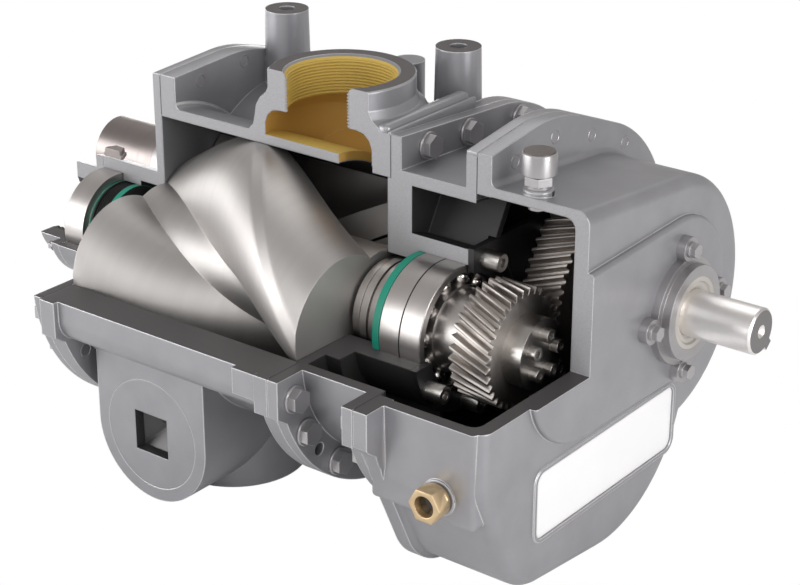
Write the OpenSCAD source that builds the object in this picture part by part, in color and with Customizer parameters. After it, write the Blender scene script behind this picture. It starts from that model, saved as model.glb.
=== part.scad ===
// Screw blower with a cut-away corner, timing gears at the drive end

/* [Rotors] */

// Distance between the two rotor axes
centre_distance = 127; // [124:0.5:130]
// Tip radius of the two lobed main rotor
main_tip_radius = 97; // [94:0.5:98]
// Length of both rotor bodies
rotor_length = 221.7; // [200:0.1:230]
// Gap left between the rotor flanks
rotor_gap = 0.4; // [0.3:0.05:0.8]
// Turn of the main rotor over its length
main_wrap = 172; // [150:1:180]
// Radial gap between rotor tips and bores
tip_gap = 0.25; // [0.2:0.05:0.6]

/* [Timing gears] */

// Teeth on the main rotor gear
main_teeth = 34; // [34:2:34]
// Width of the gears
gear_face = 32; // [26:1:34]
// Helix angle of the gear teeth
gear_helix = 20; // [10:1:22]
// Play between the teeth at the pitch line
gear_backlash = 0.24; // [0.2:0.02:0.4]

/* [Shafts and bearings] */

// Radius of the drive shaft outside the gear cover
drive_shaft_radius = 17.5; // [16:0.25:18]
// Length of drive shaft outside the gear cover
drive_shaft_reach = 72; // [60:1:80]
// Outer radius of the drive end bearings
drive_bearing_radius = 47.5; // [46:0.5:49]
// Outer radius of the small end bearings
plate_bearing_radius = 40; // [38:0.5:41]
// Width of one bearing
bearing_width = 18; // [16:0.5:18]

/* [Castings] */

// Radius of the flanges about the main axis
flange_radius = 130; // [128:0.5:134]
// Thickness of the rotor casing wall
casing_wall = 8.5; // [7:0.25:10]
// Width of the casing flange on the end plate side
casing_flange = 14.6; // [12:0.2:18]
// Wall of the gear cover
cover_wall = 7; // [5:0.5:9]
// Height of the lifting posts above the rotor axes
post_height = 161.5; // [150:0.5:170]
// Distance of the cut from the main axis
cut_y = 7.5; // [5:0.5:12]
// Height of the lower cut
cut_z = -10; // [-14:0.5:-6]

/* [Ports] */

// Radius of the inlet bore
port_radius = 41.1; // [38:0.1:44]
// Height of the inlet rim above the rotor axes
port_height = 156.8; // [150:0.2:162]
// Radius of the side plug
plug_radius = 44.5; // [40:0.5:46]
// Width of the square socket in the plug
plug_square = 33; // [28:1:38]

/* [Fasteners] */

// Radius of the flange bolts
bolt_radius = 4.9; // [4:0.1:5.4]
// Width across the flats of the flange bolt heads
bolt_flats = 16; // [14:0.5:18]

/* [Hidden] */

// Everything is seen as true curves above this number of sides
$fn = 96;
far = 200;
flat_inset = 0.1;
fit_gap = 0.03;
main_bore = main_tip_radius + tip_gap;
gate_pitch = centre_distance * 2 / 3;
main_pitch = centre_distance / 3;
gate_tip = gate_pitch - rotor_gap - 0.03;
gate_bore = gate_tip + tip_gap;
gate_wrap = main_wrap / 2;
rotor_start = 0.5;
main_phase = 6.5;
gate_phase = 180 - main_phase / 2;
far_flange_radius = flange_radius - 9;
flat_side = flange_radius + 1.5;

// Places along the shafts
plate_thick = 7.4;
gasket = 0.6;
casing_end = rotor_start + rotor_length + 2.9;
casing_right_flange = 12;
head_start = casing_end + gasket;
head_flange = 9;
head_end = head_start + 75;
cover_start = head_end + gasket;
cover_flange = 11.6;
cover_end = cover_start + 92.5;
housing_start = -68;
housing_radius = 49.5;
roller_start = 257;
ball_start = roller_start + bearing_width;
bearings_end = ball_start + bearing_width;
gear_start = bearings_end + 23;
gear_end = gear_start + gear_face;

// Outline helpers in the plane across the shafts, first number across, second up
module slab(x0, x1) translate([x0, 0, 0]) rotate([90, 0, 90])
    linear_extrude(height = x1 - x0) children();

module turned(y = 0, z = 0) translate([0, y, z]) rotate([90, 0, 90]) rotate_extrude() children();

module disc(x0, x1, r, y = 0, z = 0) translate([x0, y, z]) rotate([0, 90, 0]) cylinder(h = x1 - x0, r = r);

module ring(x0, x1, r_out, r_in, y = 0, z = 0) turned(y, z)
    translate([r_in, x0]) square([r_out - r_in, x1 - x0]);

module spot(y, z, r) translate([y, z]) circle(r = r);

module taper(p, r, q, s) {
    d = norm(q - p);
    u = (q - p) / d;
    v = [-u[1], u[0]];
    k = (r - s) / d;
    c = sqrt(1 - k * k);
    a = r - flat_inset;
    b = s - flat_inset;
    up = k * u + c * v;
    down = k * u - c * v;
    polygon([p + a * up, q + b * up, q + b * down, p + a * down]);
}

module pair(r, s) {
    circle(r = r);
    spot(centre_distance, 0, s);
    taper([0, 0], r, [centre_distance, 0], s);
}

module bores(r, s) {
    circle(r = r);
    spot(centre_distance, 0, s);
}

module corner_cut() translate([-far, -2 * far, cut_z]) cube([3.5 * far, 2 * far + cut_y, 2 * far]);

// Flange bolt places, kept away from the cut corner
flange_bolt_circle = flange_radius - 12;
far_bolt_circle = far_flange_radius - 12;
near_bolt_angles = [194, 210, 235, 262];
far_bolt_angles = [-75, -45, -15, 15, 45, 75];
function arc_places(y, r, angles) = [for (a = angles) [y + r * cos(a), r * sin(a)]];
flange_places = concat(arc_places(0, flange_bolt_circle, near_bolt_angles),
    arc_places(centre_distance, far_bolt_circle, far_bolt_angles),
    [[38.5, flange_bolt_circle - 3], [88.5, flange_bolt_circle - 6], [63.5, 4.5 - flange_bolt_circle]]);

// The near side of the head flange has one empty bolt hole
spare_places = arc_places(0, flange_bolt_circle, [222]);

module holes(places, r) for (p = places) spot(p[0], p[1], r);

module hex_bolt(x, p, r, flats, grip, head, washer = 1.8) {
    translate([x, p[0], p[1]]) rotate([0, 90, 0]) {
        cylinder(h = washer, r = flats * 0.6);
        translate([0, 0, washer]) cylinder(h = head, r = flats / sqrt(3), $fn = 6);
        translate([0, 0, -grip]) cylinder(h = grip, r = r);
    }
}

// Rotor profiles
main_root = main_pitch;
flank_x = 44;
flank_y = 5;
flank_radius = norm([main_tip_radius * cos(4.7) - flank_x, main_tip_radius * sin(4.7) + flank_y]);
function fold(t) = abs(t - 180 * round(t / 180));
function flank_at(t) = let (k = flank_x * cos(t) - flank_y * sin(t))
    k + sqrt(flank_radius * flank_radius - flank_x * flank_x - flank_y * flank_y + k * k);
function main_radius_at(t) = max(main_root, min(main_tip_radius, flank_at(fold(t))));
main_steps = concat([0, 2.35, 4.7], [for (i = [1:13]) 4.7 + 66.1 * i / 13], [77, 83.5]);
main_angles = concat(main_steps, [90], [for (i = [len(main_steps) - 1:-1:1]) 180 - main_steps[i]]);
main_points = [for (h = [0, 180], t = main_angles) (main_radius_at(t) - 0.02) * [cos(t + h), sin(t + h)]];

// Clearance of a point of the gate rotor to the turning main rotor
function gap_at(x, y, turn) = let (
    px = x * cos(turn) - y * sin(turn) - centre_distance,
    py = x * sin(turn) + y * cos(turn))
    norm([px, py]) - main_radius_at(atan2(py, px) - 180 + 2 * turn) - rotor_gap;
turns = [-48:2:48];

// The flute is traced along rays from a point in its mouth
mouth_x = gate_tip - 10;
trace_step = 3;
function ray(d, away) = [mouth_x + away * cos(d), away * sin(d)];
function gap_on_ray(d, away, turn) = gap_at(mouth_x + away * cos(d), away * sin(d), turn);
function narrow(lo, hi, d, turn, n) = n == 0 ? hi
    : gap_on_ray(d, (lo + hi) / 2, turn) <= 0 ? narrow((lo + hi) / 2, hi, d, turn, n - 1)
    : narrow(lo, (lo + hi) / 2, d, turn, n - 1);
function flute_reach(away, d, turn) = away <= 0 ? 0
    : gap_on_ray(d, away, turn) <= 0 ? narrow(away, away + trace_step, d, turn, 8)
    : flute_reach(away - trace_step, d, turn);
function tip_gap_at(a) = min([for (turn = [-48:0.5:48]) gap_at(gate_tip * cos(a), gate_tip * sin(a), turn)]);
function find_corner(lo, hi, n) = n == 0 ? hi
    : tip_gap_at((lo + hi) / 2) <= 0 ? find_corner((lo + hi) / 2, hi, n - 1)
    : find_corner(lo, (lo + hi) / 2, n - 1);

module main_profile() polygon(main_points);

module gate_profile() {
    corner = find_corner(20, 44, 12);
    first = atan2(gate_tip * sin(corner), gate_tip * cos(corner) - mouth_x);
    n = 10;
    side = [for (i = [1:n - 1]) let (d = first + (180 - first) * i / n)
        ray(d, max([for (turn = turns) flute_reach(60, d, turn)]))];
    bottom = ray(180, max([for (turn = turns) flute_reach(60, 180, turn)]));
    land = [for (i = [0:3]) let (a = corner + (90 - 2 * corner) * i / 3) gate_tip * [cos(a), sin(a)]];
    low_side = [for (i = [0:n - 2]) [side[i][0], -side[i][1]]];
    one = concat(low_side, [bottom], [for (i = [n - 2:-1:0]) side[i]], land);
    polygon([for (q = [0:90:270], p = one)
        [p[0] * cos(q) - p[1] * sin(q), p[0] * sin(q) + p[1] * cos(q)]]);
}

// Gear teeth as involutes taken at root, pitch and tip
gear_module = 2 * main_pitch / main_teeth;
pressure = 20;
function inv(a) = tan(a) * 180 / PI - a;
function tooth_half(r, base, pitch) = let (a = acos(min(1, base / r)))
    (PI * gear_module / 2 - gear_backlash / 2) / pitch * 90 / PI + inv(pressure) - inv(a);
function gear_points(teeth, pitch) = let (
    base = pitch * cos(pressure),
    radii = [max(pitch - 1.2 * gear_module, 1), pitch, pitch + 0.9 * gear_module])
    [for (i = [0:teeth - 1], k = [0:5]) let (
        r = radii[k < 3 ? k : 5 - k],
        h = tooth_half(r, base, pitch),
        t = i * 360 / teeth + (k < 3 ? -h : h))
        r * [cos(t), sin(t)]];
gear_twist = gear_face * tan(gear_helix) / main_pitch * 180 / PI;

// Castings
module rotor_casing() color([0.60, 0.60, 0.62]) difference() {
    union() {
        slab(1, casing_end - 1) bores(main_bore + casing_wall, main_bore + casing_wall - 3);
        slab(0, casing_flange) flange_outline();
        slab(casing_end - casing_right_flange, casing_end) flange_outline();
        slab(20, 205) lower_saddle();
        side_rail();
        inlet_shell();
        discharge_chest();
        lifting_post(27);
        lifting_post(197);
        translate([150, centre_distance, 60]) cylinder(h = 82, r = 12.5);
    }
    inlet_hollow();
    slab(-1, casing_end + 1) bores(main_bore, gate_bore);
    discharge_hollow();
    for (x = [27, 197]) translate([x, centre_distance, post_height - 42]) cylinder(h = 50, r = 6.75);
    slab(-1, casing_flange) holes(flange_places, bolt_radius + fit_gap);
    slab(casing_end - casing_right_flange, casing_end + 1) holes(flange_places, bolt_radius + fit_gap);
    corner_cut();
}

module flange_outline() {
    pair(flange_radius, far_flange_radius);
    polygon([[-flat_side, 5], [-flat_side, -39], [-flat_side + 9, -45], [-90, -45], [-90, 5]]);
}

module lower_saddle() translate([15, -chest_radius - 48]) square([centre_distance - 30, 60]);

module side_rail() {
    slab(10, casing_end - 10) difference() {
        union() {
            translate([-127, -26]) square([60, 60]);
            spot(-107, -26, 20);
            translate([-107, -46 + flat_inset]) square([60, 40]);
        }
        circle(r = main_bore + 1);
    }
    translate([193, -131.5, -30]) cube([20, 30, 30]);
}

inlet_x = 157.5;
inlet_y = 36;

// The inlet boss and its chamber, turned about the port axis, as radius and height
chamber_radius = 58;
chamber_roof = 126;
rim_radius = port_radius + 14.2;

module about_port() translate([inlet_x, inlet_y, 0]) rotate_extrude() children();

module inlet_shell() intersection() {
    about_port() polygon([[0, 80], [75, 80], [73, 106], [69, 110.5], [chamber_radius + 9.3, 118],
        [chamber_radius + 8, 126], [chamber_radius + 4.5, 132.5], [chamber_radius, 136],
        [rim_radius, 142], [rim_radius, port_height - 1], [rim_radius - 1, port_height], [0, port_height]]);
    translate([0, -far, 0]) cube([casing_end - 1, 2 * far, far]);
}

module inlet_hollow() {
    difference() {
        about_port() polygon([[0, 60], [chamber_radius, 60], [chamber_radius, 114],
            [chamber_radius - 2.2, 120.5], [chamber_radius - 6.5, 124.8],
            [chamber_radius - 12, chamber_roof], [0, chamber_roof]]);
        slab(0, 177.4) bores(main_bore + casing_wall - 0.8, main_bore + casing_wall - 3.8);
        slab(208.8, casing_end) bores(main_bore + casing_wall, main_bore + casing_wall - 3);
    }
    translate([inlet_x, inlet_y, 120]) cylinder(h = 60, r = port_radius);
    translate([inlet_x, inlet_y, port_height - 2.4])
        cylinder(h = 10, r1 = port_radius, r2 = port_radius + 10);
    translate([177.4, -30, 40]) cube([31.3, 130, 62]);
}

module lifting_post(x) translate([x, centre_distance, 60])
    cylinder(h = post_height - 60, r1 = 19.6, r2 = 17.4);

chest_x = 79;
chest_z = -112;
chest_radius = 55;
chest_front = -100;
chest_bottom = -168;

module across(y) translate([chest_x, y, chest_z]) rotate([90, 0, 0]) children();

module discharge_chest() {
    chest_half = chest_radius - flat_inset;
    across(60) cylinder(h = 60 - chest_front, r = chest_radius);
    translate([chest_x - chest_half, chest_front, chest_z]) cube([2 * chest_half, 150, 80]);
    translate([chest_x, -5, chest_bottom]) cylinder(h = 60, r = 56);
}

module discharge_hollow() {
    across(chest_front + plug_depth) cylinder(h = 60, r = plug_radius + fit_gap);
    across(40) cylinder(h = 30 - chest_front, r = plug_radius - 3);
    translate([chest_x, -5, chest_bottom - 1]) cylinder(h = 60, r = port_radius);
    translate([chest_x - 32, -36, chest_z]) cube([64, 80, 70]);
}

plug_depth = 22;

module discharge_plug() color([0.62, 0.62, 0.63]) difference() {
    across(chest_front + plug_depth) cylinder(h = plug_depth, r = plug_radius);
    across(chest_front + 9) rotate(45) cylinder(h = 12, r = plug_square / sqrt(2), $fn = 4);
    across(chest_front + 18) rotate(45) cylinder(h = 9.05, r1 = 1, r2 = plug_square / sqrt(2), $fn = 4);
}

module end_plate() color([0.58, 0.58, 0.60]) difference() {
    union() {
        slab(-plate_thick - gasket, -gasket) pair(flange_radius, far_flange_radius);
        disc(housing_start, -gasket - 1, housing_radius);
        disc(housing_start, -gasket - 1, housing_radius, centre_distance);
        slab(-40, -gasket - 1) plate_ribs();
    }
    bearing_well(0);
    bearing_well(centre_distance);
    slab(-plate_thick - 2, 0) holes(flange_places, bolt_radius + fit_gap);
    slab(housing_start - 1, housing_start + 16) holes(cap_places(0), 2.6);
    slab(housing_start - 1, housing_start + 16) holes(cap_places(centre_distance), 2.6);
    corner_cut();
}

module plate_ribs() {
    for (a = [-90:30:90]) if (a != 0)
        translate([centre_distance, 0]) rotate(a) translate([20, -3.5]) square([80, 7]);
    rotate(-90) translate([20, -3.5]) square([85, 7]);
}

module bearing_well(y) {
    disc(housing_start - 1, housing_start + 21.5, plate_bearing_radius + 0.01, y);
    disc(housing_start + 20, -20, 34, y);
    disc(-27, 1, 38, y);
}

cap_bolt_circle = 44.8;
function cap_places(y) = arc_places(y, cap_bolt_circle, [20, 65, 200, 245, 290, 335]);

module end_cap(y) difference() {
    union() {
        ring(housing_start - 9.6, housing_start, housing_radius, 30, y);
        ring(housing_start - 32, housing_start - 9, 37, 30, y);
    }
    slab(housing_start - 12, housing_start + 1) holes(cap_places(y), 2.6);
}

module near_end_cap() color([0.56, 0.56, 0.58]) difference() {
    end_cap(0);
    corner_cut();
}

module far_end_cap() color([0.56, 0.56, 0.58]) end_cap(centre_distance);

module far_shaft_cover() color([0.56, 0.56, 0.58]) turned(centre_distance) polygon([
    [0, -174], [27.5, -174], [29, -172.5], [29, -122], [31, -122], [31, -106], [36.9, -106],
    [36.9, housing_start - 32], [24, housing_start - 32], [24, -166], [0, -166]]);

module drive_head() color([0.60, 0.60, 0.62]) difference() {
    union() {
        slab(head_start, head_start + head_flange) flange_outline();
        slab(casing_end - 2.5, head_start + 1) bores(main_bore - 0.1, gate_bore - 0.1);
        slab(head_start + 1, head_end - 1) pair(main_bore + casing_wall - 0.8, gate_bore + casing_wall + 6);
        slab(head_end - 9, head_end) flange_outline();
    }
    slab(head_start + 18.8, head_end + 1) difference() {
        pair(main_bore - 1.8, gate_bore + 2);
        bores(housing_out, housing_out);
        for (y = [0, centre_distance], a = [60, 120, 250, 300, 0])
            translate([y, 0]) rotate(a) translate([40, -3]) square([70, 6]);
    }
    slab(head_start + 5.8, head_start + 20) intersection() {
        difference() {
            circle(r = main_bore - 1.8);
            circle(r = 76);
        }
        translate([-110, -62]) square([60, 70]);
    }
    for (y = [0, centre_distance]) {
        disc(casing_end - 4, head_end + 1, 39.8, y);
        disc(250.5, head_end + 1, drive_bearing_radius + 0.01, y);
        disc(retainer_start, head_end + 1, drive_bearing_radius + 22, y);
    }
    slab(retainer_start, head_end + 1) pair(retainer_round + 1, retainer_round + 1);
    slab(head_start - 1, head_end + 1) holes(flange_places, bolt_radius + fit_gap);
    slab(head_start - 1, head_start + head_flange + 1) holes(spare_places, bolt_radius);
    slab(bearings_end - 14, head_end) holes(retainer_places, 4.03);
    corner_cut();
}

housing_out = drive_bearing_radius + 12;
retainer_round = 60;
retainer_circle = 53.5;
retainer_places = concat(arc_places(0, retainer_circle, [66, 213, 270, 330]),
    arc_places(centre_distance, retainer_circle, [66, 213, 270, 330, 120]));
retainer_start = bearings_end + 1.5;
retainer_end = retainer_start + 5;

module bearing_retainer_plate() color([0.20, 0.20, 0.21]) difference() {
    slab(retainer_start, retainer_end) pair(retainer_round, retainer_round);
    slab(retainer_start - 1, retainer_end + 1) bores(42.5, 42.5);
    slab(retainer_start - 1, retainer_end + 1) holes(retainer_places, 4.03);
    corner_cut();
}

sump = [95, -40];
sump_radius = 105;
toe = [-35, -105];
toe_radius = 50;
heel = [-82, -52];
heel_radius = 30;

module cover_outline(inset) {
    main_r = 110 - inset;
    gate_r = 98 - inset;
    pair(main_r, gate_r);
    spot(sump[0], sump[1], sump_radius - inset);
    spot(toe[0], toe[1], toe_radius - inset);
    spot(heel[0], heel[1], heel_radius - inset);
    taper([0, 0], main_r, heel, heel_radius - inset);
    taper(heel, heel_radius - inset, toe, toe_radius - inset);
    taper(toe, toe_radius - inset, sump, sump_radius - inset);
    taper([0, 0], main_r, sump, sump_radius - inset);
}

module gear_cover() color([0.60, 0.60, 0.62]) difference() {
    union() {
        slab(cover_start, cover_start + cover_flange) flange_outline();
        slab(cover_start, cover_end) cover_outline(0);
        slab(cover_end - 1, cover_end + 5) translate([0, 6]) pair(60, 64);
        translate([cover_start, -113, -83]) cube([88, 40, 80]);
        translate([sight_x, -118, sight_z]) rotate([-90, 0, 0]) cylinder(h = 20, r = 20);
        translate([breather_x, breather_y, 90]) cylinder(h = 24, r = 13);
        plate_frame();
    }
    slab(cover_start - 1, cover_start + cover_flange + 1) pair(110 - cover_wall, 98 - cover_wall);
    slab(cover_start + cover_flange, cover_end - cover_wall - 4) cover_outline(cover_wall);
    slab(cover_end - cover_wall - 5, cover_end + 6) spot(centre_distance, 0, 30);
    slab(cover_start - 1, cover_start + cover_flange + 1) holes(flange_places, bolt_radius + fit_gap);
    slab(cover_end - 6, cover_end + 6) holes(carrier_places, 3.03);
    translate([sight_x, -90, sight_z]) rotate([90, 0, 0]) cylinder(h = 40, r = 12 + fit_gap);
    translate([breather_x, breather_y, 80]) cylinder(h = 40, r = 7 + fit_gap);
    slab(cover_end - 1.5, cover_end + 3) plate_outline(0);
    corner_cut();
}

name_y = 43;
name_z = -91;
name_width = 180;
name_height = 52;

module plate_outline(grow) {
    w = name_width / 2 - 8;
    h = name_height / 2 - 8;
    for (a = [-1, 1], b = [-1, 1]) spot(name_y + a * w, name_z + b * h, 8 + grow);
    translate([name_y - w - 8 - grow, name_z - h]) square([2 * w + 16 + 2 * grow, 2 * h]);
    translate([name_y - w, name_z - h - 8 - grow]) square([2 * w, 2 * h + 16 + 2 * grow]);
}

module plate_frame() slab(cover_end - 1, cover_end + 1.2) difference() {
    plate_outline(3);
    plate_outline(0);
}

module nameplate() color([0.92, 0.92, 0.92]) slab(cover_end - 1.5, cover_end - 0.5) plate_outline(-0.15);

breather_x = 344;
breather_y = 20;

module breather_body() color([0.62, 0.62, 0.63]) translate([breather_x, breather_y, 0]) difference() {
    union() {
        translate([0, 0, 98]) cylinder(h = 18, r = 7);
        translate([0, 0, 114]) cylinder(h = 2.5, r = 9.5);
        translate([0, 0, 116]) cylinder(h = 6.5, r = 11, $fn = 6);
        translate([0, 0, 122]) cylinder(h = 8, r = 7.5);
    }
    translate([0, 0, 97]) cylinder(h = 40, r = 4);
}

module breather_cap() color([0.64, 0.64, 0.64]) translate([breather_x, breather_y, 0]) rotate_extrude()
    polygon([[7.55, 123.5], [12.5, 123.5], [12.5, 138], [11, 140.5], [0, 140.5], [0, 130.2], [7.55, 130.2]]);

sight_x = 370;
sight_z = -58;

module at_sight(y) translate([sight_x, y, sight_z]) rotate([90, 0, 0]) children();

module sight_glass_body() color([0.75, 0.62, 0.35]) at_sight(0) difference() {
    union() {
        translate([0, 0, 104]) cylinder(h = 16, r = 12);
        translate([0, 0, 118]) cylinder(h = 4, r = 17);
        translate([0, 0, 121]) cylinder(h = 18, r = 33 / sqrt(3), $fn = 6);
    }
    translate([0, 0, 103]) cylinder(h = 24, r = 8);
    translate([0, 0, 126]) cylinder(h = 20, r = 11.5);
}

module sight_glass_lens() color([0.12, 0.10, 0.08]) at_sight(-126) cylinder(h = 5, r = 11.45);

carrier_places = arc_places(centre_distance, 48, [0, 90, 180, 270]);
carrier_end = cover_end + 18;

module seal_carrier() color([0.60, 0.60, 0.62]) difference() {
    union() {
        ring(cover_end + 5, cover_end + 11, 41, 27.5, centre_distance);
        slab(cover_end + 5, cover_end + 12) holes(carrier_places, 9.5);
        ring(cover_end - 4, cover_end + 6, 29.8, 27.5, centre_distance);
        ring(cover_end + 10, carrier_end, 36, 27.5, centre_distance);
    }
    slab(cover_end - 6, carrier_end) holes(carrier_places, 3.03);
    disc(cover_end - 6, carrier_end + 1, 27.5, centre_distance);
}

module shaft_seal() color([0.80, 0.78, 0.72]) {
    turned(centre_distance) polygon([[27.5, cover_end + 4], [27.5, carrier_end], [24, carrier_end],
        [23, carrier_end - 1.5], [20, carrier_end - 1.5], [drive_shaft_radius + 0.05, carrier_end - 3],
        [drive_shaft_radius + 0.05, cover_end + 4]]);
}

module end_gasket() color([0.25, 0.25, 0.25]) gasket_sheet(-gasket, 0);

module head_gasket() color([0.25, 0.25, 0.25]) gasket_sheet(casing_end, casing_end + gasket);

module cover_gasket() color([0.25, 0.25, 0.25]) gasket_sheet(head_end, head_end + gasket);

module gasket_sheet(x0, x1) difference() {
    slab(x0, x1) pair(flange_radius - 1, far_flange_radius - 1);
    slab(x0 - 1, x1 + 1) pair(main_bore + 1, gate_bore + 1);
    slab(x0 - 1, x1 + 1) holes(flange_places, bolt_radius + fit_gap);
    corner_cut();
}

// Fasteners
module plate_bolts() color([0.55, 0.55, 0.57]) for (p = flange_places) mirror([1, 0, 0])
    hex_bolt(plate_thick + gasket, p, bolt_radius, bolt_flats, plate_thick + gasket + casing_flange, 6.5);

module head_bolts() color([0.55, 0.55, 0.57]) for (p = flange_places)
    hex_bolt(head_start + head_flange, p, bolt_radius, bolt_flats,
        head_flange + gasket + casing_right_flange, 6.5);

module cover_bolts() color([0.55, 0.55, 0.57]) for (p = flange_places) mirror([1, 0, 0])
    hex_bolt(9 - head_end, p, bolt_radius, bolt_flats, 9 + gasket + cover_flange, 6.5);

module retainer_screws() color([0.16, 0.16, 0.17]) for (p = retainer_places)
    socket_screw(retainer_end, p, 4, 6.5, 8, 14);

module socket_screw(x, p, r, head_r, head, grip) translate([x, p[0], p[1]]) rotate([0, 90, 0]) difference() {
    union() {
        cylinder(h = head, r = head_r);
        translate([0, 0, -grip]) cylinder(h = grip, r = r);
    }
    translate([0, 0, head / 2]) cylinder(h = head, r = head_r / 2, $fn = 6);
}

module seal_carrier_bolts() color([0.58, 0.58, 0.60]) for (p = carrier_places)
    hex_bolt(cover_end + 12, p, 3, 10, 16, 4.5, 1.5);

module end_cap_bolts() color([0.55, 0.55, 0.57]) for (p = concat(cap_places(0), cap_places(centre_distance)))
    mirror([1, 0, 0]) hex_bolt(9.6 - housing_start, p, 2.57, 7, 24, 3.5, 0.8);

// Main rotor body
shaft_core = 20.7;
hub_sides = 24;
hub_radius = (shaft_core + 0.1) / cos(180 / hub_sides);
gear_hub_radius = (24 + 0.08) / cos(180 / hub_sides);

module main_rotor() color([0.76, 0.75, 0.73]) translate([rotor_start, 0, 0]) rotate([90, 0, 90])
    rotate(main_phase)
    linear_extrude(height = rotor_length, twist = -main_wrap, slices = 30, $fn = hub_sides) difference() {
        main_profile();
        circle(r = hub_radius, $fn = hub_sides);
    }

module shaft_bar(y, reach, end) turned(y) polygon(concat([[0, -96], [20, -96], [20, -44],
    [24, -44], [24, -6], [shaft_core, -6], [shaft_core, rotor_length + 2], [29, rotor_length + 2],
    [29, roller_start],
    [27.5, roller_start], [27.5, bearings_end], [24, bearings_end], [24, gear_end - 1], [end, gear_end - 1]],
    [[end, reach - 1.5], [end - 1.5, reach], [0, reach]]));

main_shaft_tip = 11.5;

module main_shaft() color([0.74, 0.73, 0.71]) shaft_bar(0, gear_end + 3, main_shaft_tip);

module gear_wheel(teeth, pitch, twist)
    linear_extrude(height = gear_face, twist = twist, slices = 2, $fn = hub_sides) difference() {
    polygon(gear_points(teeth, pitch));
    circle(r = gear_hub_radius, $fn = hub_sides);
}

module main_gear() color([0.70, 0.68, 0.66]) translate([gear_start, 0, 0]) rotate([90, 0, 90])
    gear_wheel(main_teeth, main_pitch, -gear_twist);

module main_clamp_disc() color([0.66, 0.65, 0.64]) difference() {
    disc(gear_end, gear_end + 15.5, 26.1);
    for (p = arc_places(0, 15, [10, 82, 154, 226, 298])) disc(gear_end - 1, gear_end + 17, 3.3, p[0], p[1]);
    disc(gear_end - 1, gear_end + 4, main_shaft_tip + 0.05);
}

module main_clamp_screws() color([0.45, 0.44, 0.43]) for (p = arc_places(0, 15, [10, 82, 154, 226, 298]))
    socket_screw(gear_end + 15.5, p, 3.27, 5.2, 6.5, 15.5);

module main_spacer() color([0.72, 0.71, 0.69]) ring(bearings_end, gear_start, 31, 24.05);

module collar_on(y) turned(y) polygon([[29.05, 224.2], [36, 224.2], [36, 230], [34, 230], [34, 232],
    [38, 232], [38, 238], [34.5, 238], [34.5, 240], [38, 240], [38, 248], [29.05, 248]]);

module main_seal_collar() color([0.55, 0.54, 0.53]) collar_on(0);

module main_end_seal() color([0.15, 0.52, 0.42]) {
    ring(-32, -27, 33.95, 24.4);
    ring(-46.4, -43.5, 33.95, 24.4);
}

module main_drive_seal() color([0.15, 0.52, 0.42]) ring(251, 256.8, 47.4, 31);

module plate_race(y) {
    ring(housing_start + 0.5, housing_start + 21, plate_bearing_radius, 34, y);
}

module main_plate_bearing() color([0.74, 0.73, 0.72]) plate_race(0);

module gate_plate_bearing() color([0.74, 0.73, 0.72]) plate_race(centre_distance);

module outer_race(x0, y) turned(y) polygon([[drive_bearing_radius, x0 + 0.6],
    [drive_bearing_radius, x0 + bearing_width - 0.6], [drive_bearing_radius - 0.6, x0 + bearing_width],
    [41.5, x0 + bearing_width], [41.5, x0], [drive_bearing_radius - 0.6, x0]]);

module main_roller_bearing() color([0.74, 0.73, 0.72]) outer_race(roller_start, 0);

module main_ball_bearing() color([0.74, 0.73, 0.72]) outer_race(ball_start, 0);

module gate_roller_bearing() color([0.74, 0.73, 0.72]) outer_race(roller_start, centre_distance);

module gate_ball_bearing() color([0.74, 0.73, 0.72]) outer_race(ball_start, centre_distance);

module race_inner(y) {
    ring(housing_start + 1, housing_start + 21, 26.5, 20.05, y);
    ring(roller_start, roller_start + bearing_width, 32.4, 27.55, y);
    ring(ball_start, bearings_end, 32.4, 27.55, y);
}

module main_bearing_inner_rings() color([0.74, 0.73, 0.72]) race_inner(0);

module gate_bearing_inner_rings() color([0.74, 0.73, 0.72]) race_inner(centre_distance);

module race_cage(x0, w) difference() {
    ring(x0 + bearing_width / 2 - w, x0 + bearing_width / 2 + w, 38.9, 35);
    for (i = [0:ball_count - 1])
        translate([x0 + bearing_width / 2, 0, 0]) rotate([i * 360 / ball_count, 0, 0])
        translate([0, 0, 30]) children();
}

ball_count = 16;
ball_radius = 4.5;
ball_circle = 36.95;
roller_length = bearing_width - 6;

module main_roller_cage() color([0.60, 0.48, 0.25]) race_cage(roller_start, 7.8)
    translate([-roller_length / 2 - 0.2, -ball_radius - 0.15, 0])
    cube([roller_length + 0.4, 2 * ball_radius + 0.3, 14]);

module main_ball_cage() color([0.60, 0.48, 0.25]) race_cage(ball_start, 5.6)
    cylinder(h = 14, r = ball_radius + 0.15);

module bearing_balls() color([0.85, 0.85, 0.85]) for (y = [0, centre_distance], i = [0:ball_count - 1])
    translate([ball_start + bearing_width / 2, y, 0]) rotate([i * 360 / ball_count, 0, 0])
        translate([0, 0, ball_circle]) sphere(r = ball_radius);

module bearing_rollers() color([0.82, 0.82, 0.82]) for (y = [0, centre_distance], i = [0:ball_count - 1])
    translate([roller_start + 3, y, 0]) rotate([i * 360 / ball_count, 0, 0])
        translate([0, 0, ball_circle]) rotate([0, 90, 0]) cylinder(h = roller_length, r = ball_radius);

// Gate rotor body
module gate_rotor() color([0.74, 0.73, 0.72]) translate([rotor_start, centre_distance, 0]) rotate([90, 0, 90])
    rotate(gate_phase)
    linear_extrude(height = rotor_length, twist = gate_wrap, slices = 18, $fn = hub_sides) difference() {
        gate_profile();
        circle(r = hub_radius, $fn = hub_sides);
    }

drive_shaft_end = cover_end + drive_shaft_reach;
key_turn = -50;
key_width = 8;
key_length = 34;

module key_block(grow, low, high) translate([drive_shaft_end - key_length - grow, centre_distance, 0])
    rotate([key_turn, 0, 0]) translate([0, low, -key_width / 2 - grow])
    cube([key_length + 2 * grow, high - low, key_width + 2 * grow]);

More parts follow.
